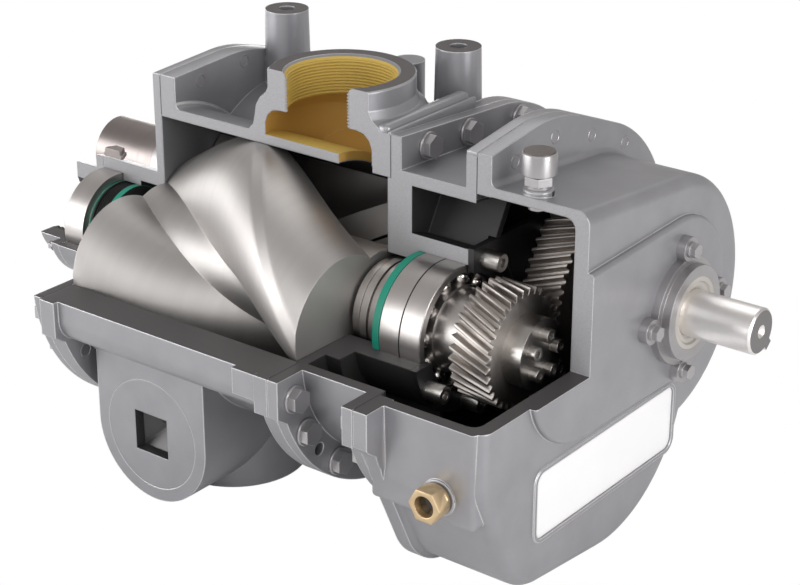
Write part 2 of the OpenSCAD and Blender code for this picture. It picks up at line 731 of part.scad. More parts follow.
module gate_shaft() color([0.74, 0.73, 0.71]) difference() {
    shaft_bar(centre_distance, drive_shaft_end, drive_shaft_radius);
    key_block(0.02, drive_shaft_radius - 4.5, drive_shaft_radius + 2);
    turned(centre_distance) polygon([[0, drive_shaft_end - 9], [2.5, drive_shaft_end - 9],
        [2.5, drive_shaft_end - 3], [5.5, drive_shaft_end + 0.5], [0, drive_shaft_end + 0.5]]);
}

module drive_key() color([0.60, 0.59, 0.57])
    key_block(0, drive_shaft_radius - 4.48, drive_shaft_radius + 2.5);

module gate_gear() color([0.70, 0.68, 0.66]) translate([gear_start, centre_distance, 0]) rotate([90, 0, 90])
    rotate(90 / main_teeth) gear_wheel(2 * main_teeth, gate_pitch, gear_twist / 2);

gate_clamp_places = arc_places(centre_distance, 27, [0, 60, 120, 180, 240, 300]);

module gate_clamp_disc() color([0.66, 0.65, 0.64]) difference() {
    ring(gear_end, gear_end + 12, 36, drive_shaft_radius + 0.05, centre_distance);
    slab(gear_end - 1, gear_end + 13) holes(gate_clamp_places, 3.3);
}

module gate_clamp_screws() color([0.45, 0.44, 0.43]) for (p = gate_clamp_places)
    socket_screw(gear_end + 12, p, 3.27, 5.2, 6.5, 12);

module gate_spacer() color([0.72, 0.71, 0.69]) ring(bearings_end, gear_start, 31, 24.05, centre_distance);

module gate_seal_collar() color([0.55, 0.54, 0.53]) collar_on(centre_distance);

// One line for each node
rotor_casing();
end_plate();
near_end_cap();
far_end_cap();
far_shaft_cover();
drive_head();
bearing_retainer_plate();
gear_cover();
seal_carrier();
shaft_seal();
discharge_plug();
breather_body();
breather_cap();
sight_glass_body();
sight_glass_lens();
nameplate();
end_gasket();
head_gasket();
cover_gasket();
plate_bolts();
head_bolts();
cover_bolts();
retainer_screws();
seal_carrier_bolts();
end_cap_bolts();
main_rotor();
main_shaft();
main_gear();
main_clamp_disc();
main_clamp_screws();
main_spacer();
main_seal_collar();
main_end_seal();
main_drive_seal();
main_plate_bearing();
main_roller_bearing();
main_ball_bearing();
main_roller_cage();
main_ball_cage();
bearing_balls();
bearing_rollers();
main_bearing_inner_rings();
gate_bearing_inner_rings();
gate_rotor();
gate_shaft();
gate_gear();
gate_clamp_disc();
gate_clamp_screws();
gate_spacer();
gate_seal_collar();
gate_plate_bearing();
gate_roller_bearing();
gate_ball_bearing();
drive_key();
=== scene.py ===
import bpy
import bmesh
import math
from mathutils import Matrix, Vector


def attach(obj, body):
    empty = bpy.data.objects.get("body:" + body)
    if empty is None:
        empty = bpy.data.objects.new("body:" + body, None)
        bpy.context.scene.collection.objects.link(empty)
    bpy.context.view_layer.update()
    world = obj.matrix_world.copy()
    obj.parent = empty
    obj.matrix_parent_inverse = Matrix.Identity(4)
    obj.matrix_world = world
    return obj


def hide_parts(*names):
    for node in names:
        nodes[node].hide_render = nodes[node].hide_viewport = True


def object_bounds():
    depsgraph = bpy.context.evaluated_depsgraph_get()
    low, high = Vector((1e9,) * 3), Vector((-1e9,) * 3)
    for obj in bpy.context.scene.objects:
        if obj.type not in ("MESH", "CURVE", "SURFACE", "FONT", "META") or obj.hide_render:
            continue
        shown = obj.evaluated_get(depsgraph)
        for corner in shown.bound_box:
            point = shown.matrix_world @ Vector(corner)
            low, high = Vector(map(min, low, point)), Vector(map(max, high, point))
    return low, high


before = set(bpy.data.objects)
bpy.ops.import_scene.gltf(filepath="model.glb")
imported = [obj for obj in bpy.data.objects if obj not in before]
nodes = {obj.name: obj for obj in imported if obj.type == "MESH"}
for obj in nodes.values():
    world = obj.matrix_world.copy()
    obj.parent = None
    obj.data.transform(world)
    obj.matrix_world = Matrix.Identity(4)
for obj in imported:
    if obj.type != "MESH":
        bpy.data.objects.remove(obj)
cadLow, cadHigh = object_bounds()
bpy.ops.object.select_all(action="DESELECT")
print("frame loaded,", len(nodes), "nodes")

mm = 0.001
axisGap = 127.0                      # from the near shaft axis to the far one
section = {"y": 7.5, "z": -10.0}     # faces left where the near corner is cut away
inletPlace = (157.5, 36.0)           # x and y of the inlet's axis


# shader node helpers
def newGroup(name, inputs, outputs):
    group = bpy.data.node_groups.new(name, "ShaderNodeTree")
    for label, kind, value in inputs:
        item = group.interface.new_socket(label, in_out="INPUT", socket_type=kind)
        if value is not None:
            item.default_value = value
    for label, kind in outputs:
        group.interface.new_socket(label, in_out="OUTPUT", socket_type=kind)
    ins = group.nodes.new("NodeGroupInput")
    outs = group.nodes.new("NodeGroupOutput")
    return group, ins, outs


def add(tree, kind):
    return tree.nodes.new("ShaderNode" + kind)


def mathNode(tree, operation, a, b=None, c=None, clamp=False):
    node = add(tree, "Math")
    node.operation = operation
    node.use_clamp = clamp
    for index, value in enumerate((a, b, c)):
        if value is None:
            continue
        if isinstance(value, (int, float)):
            node.inputs[index].default_value = value
        else:
            tree.links.new(value, node.inputs[index])
    return node.outputs[0]


# a value times a factor, with a base added
def scaled(tree, value, factor, base):
    return mathNode(tree, "MULTIPLY_ADD", value, factor, base)


def mixColour(tree, factor, first, second):
    node = add(tree, "Mix")
    node.data_type = "RGBA"
    for index, value in ((0, factor), (6, first), (7, second)):
        if isinstance(value, (int, float)):
            node.inputs[index].default_value = value
        elif isinstance(value, tuple):
            node.inputs[index].default_value = value + (1.0,)
        else:
            tree.links.new(value, node.inputs[index])
    return node.outputs[2]


def mixValue(tree, factor, first, second):
    node = add(tree, "Mix")
    node.data_type = "FLOAT"
    for index, value in ((0, factor), (2, first), (3, second)):
        if isinstance(value, (int, float)):
            node.inputs[index].default_value = value
        else:
            tree.links.new(value, node.inputs[index])
    return node.outputs[0]


def objectPlace(tree):
    return add(tree, "TexCoord").outputs["Object"]


def objectXyz(tree):
    split = add(tree, "SeparateXYZ")
    tree.links.new(objectPlace(tree), split.inputs[0])
    return split.outputs[0], split.outputs[1], split.outputs[2]


def normalXyz(tree):
    geometry = add(tree, "NewGeometry")
    split = add(tree, "SeparateXYZ")
    tree.links.new(geometry.outputs["Normal"], split.inputs[0])
    return split.outputs[0], split.outputs[1], split.outputs[2]


def noise(tree, vector, scale, detail=3.0, rough=0.5):
    node = add(tree, "TexNoise")
    node.inputs["Scale"].default_value = scale
    node.inputs["Detail"].default_value = detail
    node.inputs["Roughness"].default_value = rough
    tree.links.new(vector, node.inputs["Vector"])
    return node.outputs["Fac"]


def stretched(tree, vector, scale):
    node = add(tree, "Mapping")
    node.inputs["Scale"].default_value = scale
    tree.links.new(vector, node.inputs["Vector"])
    return node.outputs[0]


def radiusFrom(tree, a, b, centreA, centreB):
    da = mathNode(tree, "SUBTRACT", a, centreA)
    db = mathNode(tree, "SUBTRACT", b, centreB)
    total = mathNode(tree, "ADD", both(tree, da, da), both(tree, db, db))
    return mathNode(tree, "SQRT", total)


def near(tree, value, target, width):
    return mathNode(tree, "COMPARE", value, target, width)


def less(tree, value, limit):
    return mathNode(tree, "LESS_THAN", value, limit)


def more(tree, value, limit):
    return mathNode(tree, "GREATER_THAN", value, limit)


def both(tree, *values):
    result = values[0]
    for value in values[1:]:
        result = mathNode(tree, "MULTIPLY", result, value)
    return result


def either(tree, *values):
    result = values[0]
    for value in values[1:]:
        result = mathNode(tree, "MAXIMUM", result, value)
    return result


# places that the masks of the castings go by, turned from millimetres into metres
maskLook = {key: value * mm for key, value in {
    "gateAxis": axisGap,
    "sectionY": section["y"], "sectionZ": section["z"],
    "slack": 0.2,
    "rimTop": 156.8, "postTop": 161.5,
    "topSlack": 0.3,
    "mainBore": 97.8, "gateBore": 85.2,
    "well": 41.2, "wellEnd": -67.7,
    "casingStart": -0.5,
    "headStart": 225.4, "headEnd": 301.2,
    "coverMiddleY": 60.0, "coverMiddleZ": -20.0,
    "facing": -1.0,
    "endWall": 370.0,
    "coverEnd": 383.5,
    "inletX": inletPlace[0], "inletY": inletPlace[1],
    "inletBore": 41.8, "inletFoot": 119.5,
    "chamber": 58.5,
    "chamberLow": 45.0, "chamberHigh": 126.05,
    "chamberEnd": 208.5,
    "mainSkin": 98.5, "gateSkin": 85.8,
    "floorEdge": 50.0,
}.items()}
squareOn = 0.98     # a normal this close to an axis lies along it
facingOn = 0.9      # this close it mostly faces that way
slopeOn = 0.6       # this close it belongs to a sloping floor
webLean = 0.1       # how far the wall between the bores leans with y


# where the castings are sawn through, and the machined tops of the inlet and the posts; the level cut and
# these tops are painted darker as shade
def makeCutGroup():
    tree, ins, outs = newGroup("sectionFaces", [],
        [("Upright", "NodeSocketFloat"), ("Level", "NodeSocketFloat"), ("MachinedShade", "NodeSocketFloat")])
    m = maskLook
    x, y, z = objectXyz(tree)
    nx, ny, nz = normalXyz(tree)
    upwards = more(tree, nz, squareOn)
    upright = both(tree, near(tree, y, m["sectionY"], m["slack"]), less(tree, ny, -squareOn))
    level = both(tree, near(tree, z, m["sectionZ"], m["slack"]), upwards)
    tops = either(tree, near(tree, z, m["rimTop"], m["topSlack"]), near(tree, z, m["postTop"], m["topSlack"]))
    tree.links.new(upright, outs.inputs["Upright"])
    tree.links.new(level, outs.inputs["Level"])
    tree.links.new(both(tree, tops, upwards), outs.inputs["MachinedShade"])
    return tree


# walls that face the rotors, the bearings or the gears, painted near black as shade
def makeInsideShadeGroup():
    tree, ins, outs = newGroup("insideWallsShade", [], [("Mask", "NodeSocketFloat")])
    m = maskLook
    x, y, z = objectXyz(tree)
    nx, ny, nz = normalXyz(tree)
    mainR = radiusFrom(tree, y, z, 0, 0)
    gateR = radiusFrom(tree, y, z, m["gateAxis"], 0)
    flank = mathNode(tree, "ADD", mathNode(tree, "ABSOLUTE", z), both(tree, y, webLean))
    middle = both(tree, more(tree, x, m["headStart"]), more(tree, y, 0.0), less(tree, y, m["gateAxis"]),
        less(tree, flank, m["mainBore"]))
    tube = either(tree, less(tree, mainR, m["mainBore"]), less(tree, gateR, m["gateBore"]), middle)
    along = both(tree, more(tree, x, m["casingStart"]), less(tree, x, m["headEnd"]))
    well = either(tree, less(tree, mainR, m["well"]), less(tree, gateR, m["well"]))
    wells = both(tree, well, less(tree, x, m["casingStart"]), more(tree, x, m["wellEnd"]))
    sideways = both(tree, ny, mathNode(tree, "SUBTRACT", y, m["coverMiddleY"]))
    upwards = both(tree, nz, mathNode(tree, "SUBTRACT", z, m["coverMiddleZ"]))
    inwards = less(tree, mathNode(tree, "ADD", sideways, upwards), m["facing"])
    cover = both(tree, inwards, more(tree, x, m["headEnd"]), less(tree, x, m["coverEnd"]))
    wall = both(tree, less(tree, nx, -facingOn), more(tree, x, m["endWall"]), less(tree, x, m["coverEnd"]))
    tree.links.new(either(tree, both(tree, tube, along), wells, cover, wall), outs.inputs["Mask"])
    return tree


# yellow primer in the inlet, with painted shade darker on the walls of its chamber
def makeInletGroup():
    tree, ins, outs = newGroup("inletPrimerAndShade", [], [("Mask", "NodeSocketFloat"), ("ChamberShade", "NodeSocketFloat")])
    m = maskLook
    x, y, z = objectXyz(tree)
    nx, ny, nz = normalXyz(tree)
    radius = radiusFrom(tree, x, y, m["inletX"], m["inletY"])
    bore = both(tree, less(tree, radius, m["inletBore"]), more(tree, z, m["inletFoot"]))
    mainR = radiusFrom(tree, y, z, 0, 0)
    gateR = radiusFrom(tree, y, z, m["gateAxis"], 0)
    outside = both(tree, more(tree, mainR, m["mainSkin"]), more(tree, gateR, m["gateSkin"]))
    chamber = both(tree, less(tree, radius, m["chamber"]), more(tree, z, m["chamberLow"]),
        less(tree, z, m["chamberHigh"]), outside, less(tree, x, m["chamberEnd"]))
    tree.links.new(either(tree, bore, chamber), outs.inputs["Mask"])
    floor = both(tree, more(tree, nz, slopeOn), less(tree, y, m["floorEdge"]))
    tree.links.new(both(tree, chamber, mathNode(tree, "SUBTRACT", 1.0, floor)), outs.inputs["ChamberShade"])
    return tree


edgeLook = {"samples": 6, "gain": 4.0}


# rounds the look of sharp edges and finds them for a painted highlight
def makeEdgeGroup():
    tree, ins, outs = newGroup("softEdges", [("Radius", "NodeSocketFloat", 0.0015)],
        [("Normal", "NodeSocketVector"), ("Edge", "NodeSocketFloat")])
    bevel = add(tree, "Bevel")
    bevel.samples = edgeLook["samples"]
    tree.links.new(ins.outputs["Radius"], bevel.inputs["Radius"])
    geometry = add(tree, "NewGeometry")
    dot = add(tree, "VectorMath")
    dot.operation = "DOT_PRODUCT"
    tree.links.new(bevel.outputs[0], dot.inputs[0])
    tree.links.new(geometry.outputs["Normal"], dot.inputs[1])
    away = mathNode(tree, "SUBTRACT", 1.0, dot.outputs["Value"])
    edge = mathNode(tree, "MULTIPLY", away, edgeLook["gain"], clamp=True)
    tree.links.new(bevel.outputs[0], outs.inputs["Normal"])
    tree.links.new(edge, outs.inputs["Edge"])
    return tree


# detail of the fine grain, and scale, detail and roughness of the broad shade
grainLook = {"fine": 2.0, "broad": (28.0, 3.0, 0.55)}


# fine grain of a sand casting under paint
def makeCastGrain():
    tree, ins, outs = newGroup("castGrain", [("Size", "NodeSocketFloat", 900.0)],
        [("Height", "NodeSocketFloat"), ("Shade", "NodeSocketFloat")])
    vector = objectPlace(tree)
    fine = add(tree, "TexNoise")
    fine.inputs["Detail"].default_value = grainLook["fine"]
    tree.links.new(vector, fine.inputs["Vector"])
    tree.links.new(ins.outputs["Size"], fine.inputs["Scale"])
    broad = noise(tree, vector, *grainLook["broad"])
    tree.links.new(fine.outputs["Fac"], outs.inputs["Height"])
    tree.links.new(broad, outs.inputs["Shade"])
    return tree


# stretch of the noise along x, y and z, its detail and its roughness
lineLook = {"lines": ((1800.0, 14.0, 14.0), 4.0, 0.6), "shade": ((160.0, 9.0, 9.0), 3.0, 0.5)}


# lines that a lathe or a grinder leaves round the shaft axis
def makeToolLines():
    tree, ins, outs = newGroup("toolLines", [("Depth", "NodeSocketFloat", 1.0)],
        [("Height", "NodeSocketFloat"), ("Shade", "NodeSocketFloat")])
    vector = objectPlace(tree)
    found = {}
    for label, (stretch, detail, rough) in lineLook.items():
        found[label] = noise(tree, stretched(tree, vector, stretch), 1.0, detail, rough)
    tree.links.new(both(tree, found["lines"], ins.outputs["Depth"]), outs.inputs["Height"])
    tree.links.new(found["shade"], outs.inputs["Shade"])
    return tree


cutGroup = makeCutGroup()
insideShadeGroup = makeInsideShadeGroup()
inletGroup = makeInletGroup()
edgeGroup = makeEdgeGroup()
grainGroup = makeCastGrain()
lineGroup = makeToolLines()
print("shader groups ready")


def useGroup(tree, group, **values):
    node = add(tree, "Group")
    node.node_tree = group
    for label, value in values.items():
        node.inputs[label].default_value = value
    return node


def newMaterial(name, metallic=0.0):
    material = bpy.data.materials.new(name)
    material.use_nodes = True
    shader = material.node_tree.nodes["Principled BSDF"]
    shader.inputs["Metallic"].default_value = metallic
    return material, material.node_tree, shader


# one colour made lighter and darker by a tone that varies
def tinted(tree, colour, tone):
    node = add(tree, "Mix")
    node.data_type = "RGBA"
    node.blend_type = "MULTIPLY"
    node.inputs[0].default_value = 1.0
    node.inputs[6].default_value = colour + (1.0,)
    tree.links.new(tone, node.inputs[7])
    return node.outputs[2]


# colour, polish and bumps of one finish, the bumps as strength and distance
def coat(tree, shader, colour, polish, height, bumps, edges=None):
    bump = add(tree, "Bump")
    bump.inputs["Strength"].default_value, bump.inputs["Distance"].default_value = bumps
    tree.links.new(height, bump.inputs["Height"])
    if edges:
        tree.links.new(edges.outputs["Normal"], bump.inputs["Normal"])
    for label, value in (("Base Color", colour), ("Roughness", polish), ("Normal", bump.outputs[0])):
        tree.links.new(value, shader.inputs[label])


castLook = {
    "paint": (0.335, 0.335, 0.355),
    # a painted highlight, near white, along convex edges and fillets
    "paintedEdgeHighlight": (0.95, 0.95, 0.97),
    # painted shade, near black, on the walls inside the casing and the cover
    "inside": (0.020, 0.019, 0.019),
    "primer": (0.60, 0.43, 0.10),
    # primer darkened as painted shade on the chamber walls, not on its floor
    "chamber": (0.56, 0.34, 0.085),
    "uprightCut": (0.335, 0.335, 0.35),
    # the level cut is the same sawn face as the upright one, painted darker as shade
    "levelCutShade": (0.064, 0.06, 0.062),
    # the machined tops painted dark as shade
    "machinedTopShade": (0.10, 0.09, 0.092),
    "edgeRadius": 0.0016,
    "grainSize": 1300.0,
    "metallic": 0.55,
    "rough": 0.27,
    "roughGrain": 0.14,
    "sectionRough": 0.5,
    "tone": (0.3, 0.85),
    "speckle": (0.5, 0.75),
    "bump": (0.22, 0.0004),
}


def makeCastPaint():
    material, tree, shader = newMaterial("castPaint")
    grain = useGroup(tree, grainGroup, Size=castLook["grainSize"])
    cut = useGroup(tree, cutGroup)
    inside = useGroup(tree, insideShadeGroup)
    inlet = useGroup(tree, inletGroup)
    edges = useGroup(tree, edgeGroup, Radius=castLook["edgeRadius"])
    tone = scaled(tree, grain.outputs["Shade"], *castLook["tone"])
    colour = tinted(tree, castLook["paint"], tone)
    # painted highlight along the edges
    colour = mixColour(tree, edges.outputs["Edge"], colour, castLook["paintedEdgeHighlight"])
    # painted shade on the machined tops
    colour = mixColour(tree, cut.outputs["MachinedShade"], colour, castLook["machinedTopShade"])
    # painted shade on the inside walls
    colour = mixColour(tree, inside.outputs["Mask"], colour, castLook["inside"])
    colour = mixColour(tree, inlet.outputs["Mask"], colour, castLook["primer"])
    # painted shade on the chamber walls
    colour = mixColour(tree, inlet.outputs["ChamberShade"], colour, castLook["chamber"])
    speckle = scaled(tree, grain.outputs["Height"], *castLook["speckle"])
    colour = mixColour(tree, cut.outputs["Upright"], colour, tinted(tree, castLook["uprightCut"], speckle))
    # painted shade on the level cut
    colour = mixColour(tree, cut.outputs["Level"], colour, tinted(tree, castLook["levelCutShade"], speckle))
    section = either(tree, cut.outputs["Upright"], cut.outputs["Level"])
    plain = either(tree, inside.outputs["Mask"], inlet.outputs["Mask"], section)
    tree.links.new(mixValue(tree, plain, castLook["metallic"], 0.0), shader.inputs["Metallic"])
    painted = scaled(tree, grain.outputs["Height"], castLook["roughGrain"], castLook["rough"])
    polish = mixValue(tree, plain, painted, castLook["sectionRough"])
    height = both(tree, grain.outputs["Height"], mathNode(tree, "SUBTRACT", 1.0, section))
    coat(tree, shader, colour, polish, height, castLook["bump"], edges)
    return material


steelLook = {
    "edgeRadius": 0.0006,
    "polish": 0.14,
    "bump": 0.00012,
    "faceShade": (0.27, 0.26, 0.265),
    "faceDepth": 0.0004,
}


# bare steel, with an end face across x in shade where one is given
def makeSteel(name, colour, rough, lines, shade, face=None):
    material, tree, shader = newMaterial(name, 1.0)
    tool = useGroup(tree, lineGroup, Depth=1.0)
    edges = useGroup(tree, edgeGroup, Radius=steelLook["edgeRadius"])
    tone = scaled(tree, tool.outputs["Shade"], shade, 1.0 - shade / 2)
    shown = tinted(tree, colour, tone)
    if face:
        level = near(tree, objectXyz(tree)[0], face, steelLook["faceDepth"])
        end = both(tree, level, more(tree, normalXyz(tree)[0], facingOn))
        shown = mixColour(tree, end, shown, tinted(tree, steelLook["faceShade"], tone))
    height = tool.outputs["Height"]
    polish = scaled(tree, height, steelLook["polish"], rough - steelLook["polish"] / 2)
    coat(tree, shader, shown, polish, height, (lines, steelLook["bump"]), edges)
    return material


plainLook = {"edgeRadius": 0.0008, "polish": 0.1, "bump": 0.0003}


def makePlain(name, colour, rough, metallic, grainSize, depth, shade=0.2):
    material, tree, shader = newMaterial(name, metallic)
    grain = useGroup(tree, grainGroup, Size=grainSize)
    edges = useGroup(tree, edgeGroup, Radius=plainLook["edgeRadius"])
    darker = tuple(v * (1 - shade) for v in colour)
    lighter = tuple(min(1.0, v * (1 + shade)) for v in colour)
    colour = mixColour(tree, grain.outputs["Shade"], darker, lighter)
    height = grain.outputs["Height"]
    polish = scaled(tree, height, plainLook["polish"], rough - plainLook["polish"] / 2)
    coat(tree, shader, colour, polish, height, (depth, plainLook["bump"]), edges)
    return material


# seals are teal on the rim of each ring and black between the rings, in metres
sealLook = {
    "teal": (0.012, 0.29, 0.20),
    "black": (0.022, 0.022, 0.022),
    "rim": 0.0336,
    "rings": (-0.0452, -0.0322),
    "driveEnd": 0.2,
    "grainSize": 900.0,
    "tone": (0.2, 0.9),
    "speckle": (0.5, 0.75),
    "polish": (0.1, 0.36),
    "bump": (0.15, 0.0003),
}


def makeTealSeal():
    material, tree, shader = newMaterial("tealSeal")
    grain = useGroup(tree, grainGroup, Size=sealLook["grainSize"])
    x, y, z = objectXyz(tree)
    outer, inner = sealLook["rings"]
    ends = either(tree, more(tree, x, inner), less(tree, x, outer))
    rim = both(tree, more(tree, radiusFrom(tree, y, z, 0, 0), sealLook["rim"]), ends)
    height = grain.outputs["Height"]
    teal = tinted(tree, sealLook["teal"], scaled(tree, grain.outputs["Shade"], *sealLook["tone"]))
    dark = tinted(tree, sealLook["black"], scaled(tree, height, *sealLook["speckle"]))
    colour = mixColour(tree, either(tree, rim, more(tree, x, sealLook["driveEnd"])), dark, teal)
    coat(tree, shader, colour, scaled(tree, height, *sealLook["polish"]), height, sealLook["bump"])
    return material


# plug face as cast, its square socket in shade, in metres
plugLook = {
    "x": 0.079,
    "z": -0.112,
    "half": 0.0166,
    "face": -0.0998,
    "shade": (0.085, 0.083, 0.085),
    "edgeRadius": 0.0012,
    "bump": (0.2, 0.0004),
}


def makePlugIron():
    p = plugLook
    material, tree, shader = newMaterial("plugIron", 0.6)
    grain = useGroup(tree, grainGroup, Size=castLook["grainSize"])
    edges = useGroup(tree, edgeGroup, Radius=p["edgeRadius"])
    x, y, z = objectXyz(tree)
    square = both(tree, near(tree, x, p["x"], p["half"]), near(tree, z, p["z"], p["half"]))
    socket = both(tree, square, more(tree, y, p["face"]))
    face = tinted(tree, castLook["paint"], scaled(tree, grain.outputs["Shade"], *castLook["tone"]))
    height = grain.outputs["Height"]
    shade = tinted(tree, p["shade"], scaled(tree, height, *castLook["tone"]))
    polish = scaled(tree, height, castLook["roughGrain"], castLook["rough"])
    coat(tree, shader, mixColour(tree, socket, face, shade), polish, height, p["bump"], edges)
    return material


castPaint = makeCastPaint()
plugIron = makePlugIron()
tealSeal = makeTealSeal()
# steels: colour, roughness, depth of the tool lines, shade
rotorSteel = makeSteel("rotorSteel", (0.53, 0.512, 0.50), 0.50, 0.3, 0.12)
gearSteel = makeSteel("gearSteel", (0.50, 0.465, 0.44), 0.40, 0.12, 0.2)
bearingSteel = makeSteel("bearingSteel", (0.585, 0.56, 0.545), 0.36, 0.06, 0.12)
ballSteel = makeSteel("ballSteel", (0.85, 0.83, 0.81), 0.16, 0.0, 0.05)
darkSteel = makeSteel("darkSteel", (0.52, 0.50, 0.48), 0.32, 0.1, 0.3)
clampSteel = makeSteel("clampSteel", (0.50, 0.48, 0.46), 0.30, 0.08, 0.3)
shaftSteel = makeSteel("shaftSteel", (0.95, 0.93, 0.915), 0.36, 0.03, 0.08, face=0.4658)
brownIron = makeSteel("brownIron", (0.33, 0.295, 0.285), 0.36, 0.3, 0.2)
# plain finishes: colour, roughness, metallic, grain size, grain depth, shade
boltPaint = makePlain("boltPaint", (0.48, 0.47, 0.48), 0.32, 0.85, 900.0, 0.1)
machinedIron = makePlain("machinedIron", (0.43, 0.418, 0.428), 0.34, 0.8, 1200.0, 0.12)
blackPaint = makePlain("blackPaint", (0.018, 0.018, 0.019), 0.38, 0.1, 900.0, 0.15)
gasketFibre = makePlain("gasketFibre", (0.045, 0.045, 0.047), 0.8, 0.0, 1500.0, 0.3)
sealCream = makePlain("sealCream", (0.55, 0.52, 0.485), 0.32, 0.5, 900.0, 0.05, 0.06)
brassMetal = makePlain("brassMetal", (0.70, 0.53, 0.32), 0.36, 0.9, 900.0, 0.04, 0.06)
cageBrass = makePlain("cageBrass", (0.30, 0.22, 0.12), 0.36, 0.9, 600.0, 0.1, 0.1)
plateWhite = makePlain("plateWhite", (0.88, 0.88, 0.89), 0.35, 0.0, 800.0, 0.05, 0.02)
sinterMetal = makePlain("sinterMetal", (0.17, 0.15, 0.14), 0.5, 0.6, 420.0, 1.0, 0.6)
# black for the real packings, and painted shade on the cages and the race split
blackRubberAndShade = makePlain("blackRubberAndShade", (0.016, 0.016, 0.016), 0.45, 0.0, 900.0, 0.15)
lensDark = makePlain("lensDark", (0.020, 0.014, 0.010), 0.12, 0.0, 400.0, 0.02, 0.1)
print("materials ready")

finishes = (
    (rotorSteel, ("main_rotor", "gate_rotor")),
    (gearSteel, ("main_gear", "gate_gear")),
    (bearingSteel, ("main_plate_bearing", "main_roller_bearing", "main_ball_bearing",
        "gate_plate_bearing", "gate_roller_bearing", "gate_ball_bearing", "bearing_balls", "bearing_rollers",
        "main_bearing_inner_rings", "gate_bearing_inner_rings", "main_spacer", "gate_spacer")),
    (darkSteel, ("main_seal_collar", "gate_seal_collar", "main_clamp_screws", "gate_clamp_screws")),
    (clampSteel, ("main_clamp_disc", "gate_clamp_disc")),
    (shaftSteel, ("main_shaft", "gate_shaft", "drive_key")),
    (boltPaint, ("plate_bolts", "head_bolts", "cover_bolts", "seal_carrier_bolts", "end_cap_bolts")),
    (brownIron, ("far_shaft_cover",)),
    (plugIron, ("discharge_plug",)),
    (machinedIron, ("breather_body", "breather_cap", "seal_carrier", "far_end_cap")),
    (tealSeal, ("main_end_seal", "main_drive_seal")),
    (blackPaint, ("bearing_retainer_plate",)),
    (gasketFibre, ("end_gasket", "head_gasket", "cover_gasket")),
    (sealCream, ("shaft_seal",)),
    (brassMetal, ("sight_glass_body",)),
    (cageBrass, ("main_roller_cage", "main_ball_cage")),
    (plateWhite, ("nameplate",)),
    (lensDark, ("sight_glass_lens",)),
)
dressed = {name: material for material, names in finishes for name in names}
for name, obj in nodes.items():
    obj.data.materials.clear()
    obj.data.materials.append(dressed.get(name, castPaint))
print("nodes dressed")


# points this close are joined, in metres, and faces this flat are merged, in degrees
joinSpin = 0.000005
joinNode = 0.00002
flatWithin = 0.4


# modelling helpers
def pickNone():
    bpy.ops.object.select_all(action="DESELECT")


def pick(obj):
    pickNone()
    obj.select_set(True)
    bpy.context.view_layer.objects.active = obj


def link(obj):
    bpy.context.scene.collection.objects.link(obj)


def startEdit(action="SELECT"):
    bpy.ops.object.mode_set(mode="EDIT")
    bpy.ops.mesh.select_all(action=action)


def endEdit():
    bpy.ops.object.mode_set(mode="OBJECT")


def emptyMesh(name):
    pickNone()
    bpy.ops.mesh.primitive_plane_add(size=0.01)
    obj = bpy.context.object
    obj.name = name
    startEdit()
    bpy.ops.mesh.delete(type="VERT")
    endEdit()
    return obj


# chains of points drawn as edges into an empty mesh
def drawChains(obj, chains, closed=True):
    mesh = bmesh.new()
    for chain in chains:
        verts = [mesh.verts.new(p) for p in chain]
        for index in range(len(verts) if closed else len(verts) - 1):
            mesh.edges.new((verts[index], verts[(index + 1) % len(verts)]))
    mesh.to_mesh(obj.data)
    mesh.free()


def screwSweep(obj, turn, travel, steps):
    sweep = obj.modifiers.new("sweep", "SCREW")
    sweep.axis = "X"
    sweep.angle = math.radians(turn)
    sweep.screw_offset = travel
    sweep.steps = steps
    sweep.render_steps = steps
    sweep.use_merge_vertices = False
    sweep.use_smooth_shade = True
    pick(obj)
    bpy.ops.object.modifier_apply(modifier=sweep.name)


# the drawn outline spun all the way round an axis, with its normals outward
def spinRound(centre, direction, steps):
    startEdit()
    bpy.ops.mesh.spin(steps=steps, angle=2 * math.pi, center=[v * mm for v in centre], axis=direction)
    bpy.ops.mesh.select_all(action="SELECT")
    bpy.ops.mesh.remove_doubles(threshold=joinSpin)
    bpy.ops.mesh.normals_make_consistent(inside=False)
    bpy.ops.mesh.select_all(action="DESELECT")
    endEdit()


# an open end that lies square to an axis gets its face
def capAt(obj, axis, value):
    tolerance = 0.00005
    pick(obj)
    startEdit("DESELECT")
    mesh = bmesh.from_edit_mesh(obj.data)
    for edge in mesh.edges:
        if edge.is_boundary and all(abs(v.co[axis] - value) < tolerance for v in edge.verts):
            edge.select = True
    bmesh.update_edit_mesh(obj.data)
    bpy.ops.mesh.edge_face_add()
    bpy.ops.mesh.select_all(action="SELECT")
    bpy.ops.mesh.normals_make_consistent(inside=False)
    endEdit()


def finish(obj, body, material, *stands, angle=30.0, slot="casting"):
    pick(obj)
    bpy.ops.object.shade_smooth_by_angle(angle=math.radians(angle))
    obj.data.materials.clear()
    obj.data.materials.append(material)
    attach(obj, body)
    if stands:
        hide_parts(*stands)
    pickNone()


def mergedCopy(node, name):
    source = nodes[node]
    obj = source.copy()
    obj.data = source.data.copy()
    obj.name = name
    for key in list(obj.keys()):
        del obj[key]
    obj.parent = None
    link(obj)
    pick(obj)
    startEdit()
    bpy.ops.mesh.remove_doubles(threshold=joinNode)
    bpy.ops.mesh.dissolve_limited(angle_limit=math.radians(flatWithin))
    endEdit()
    return obj


def bevelEdges(obj, width, angle, segments=2):
    bevel = obj.modifiers.new("bevel", "BEVEL")
    bevel.width = width * mm
    bevel.segments = segments
    bevel.limit_method = "ANGLE"
    bevel.angle_limit = math.radians(angle)
    pick(obj)
    bpy.ops.object.modifier_apply(modifier=bevel.name)


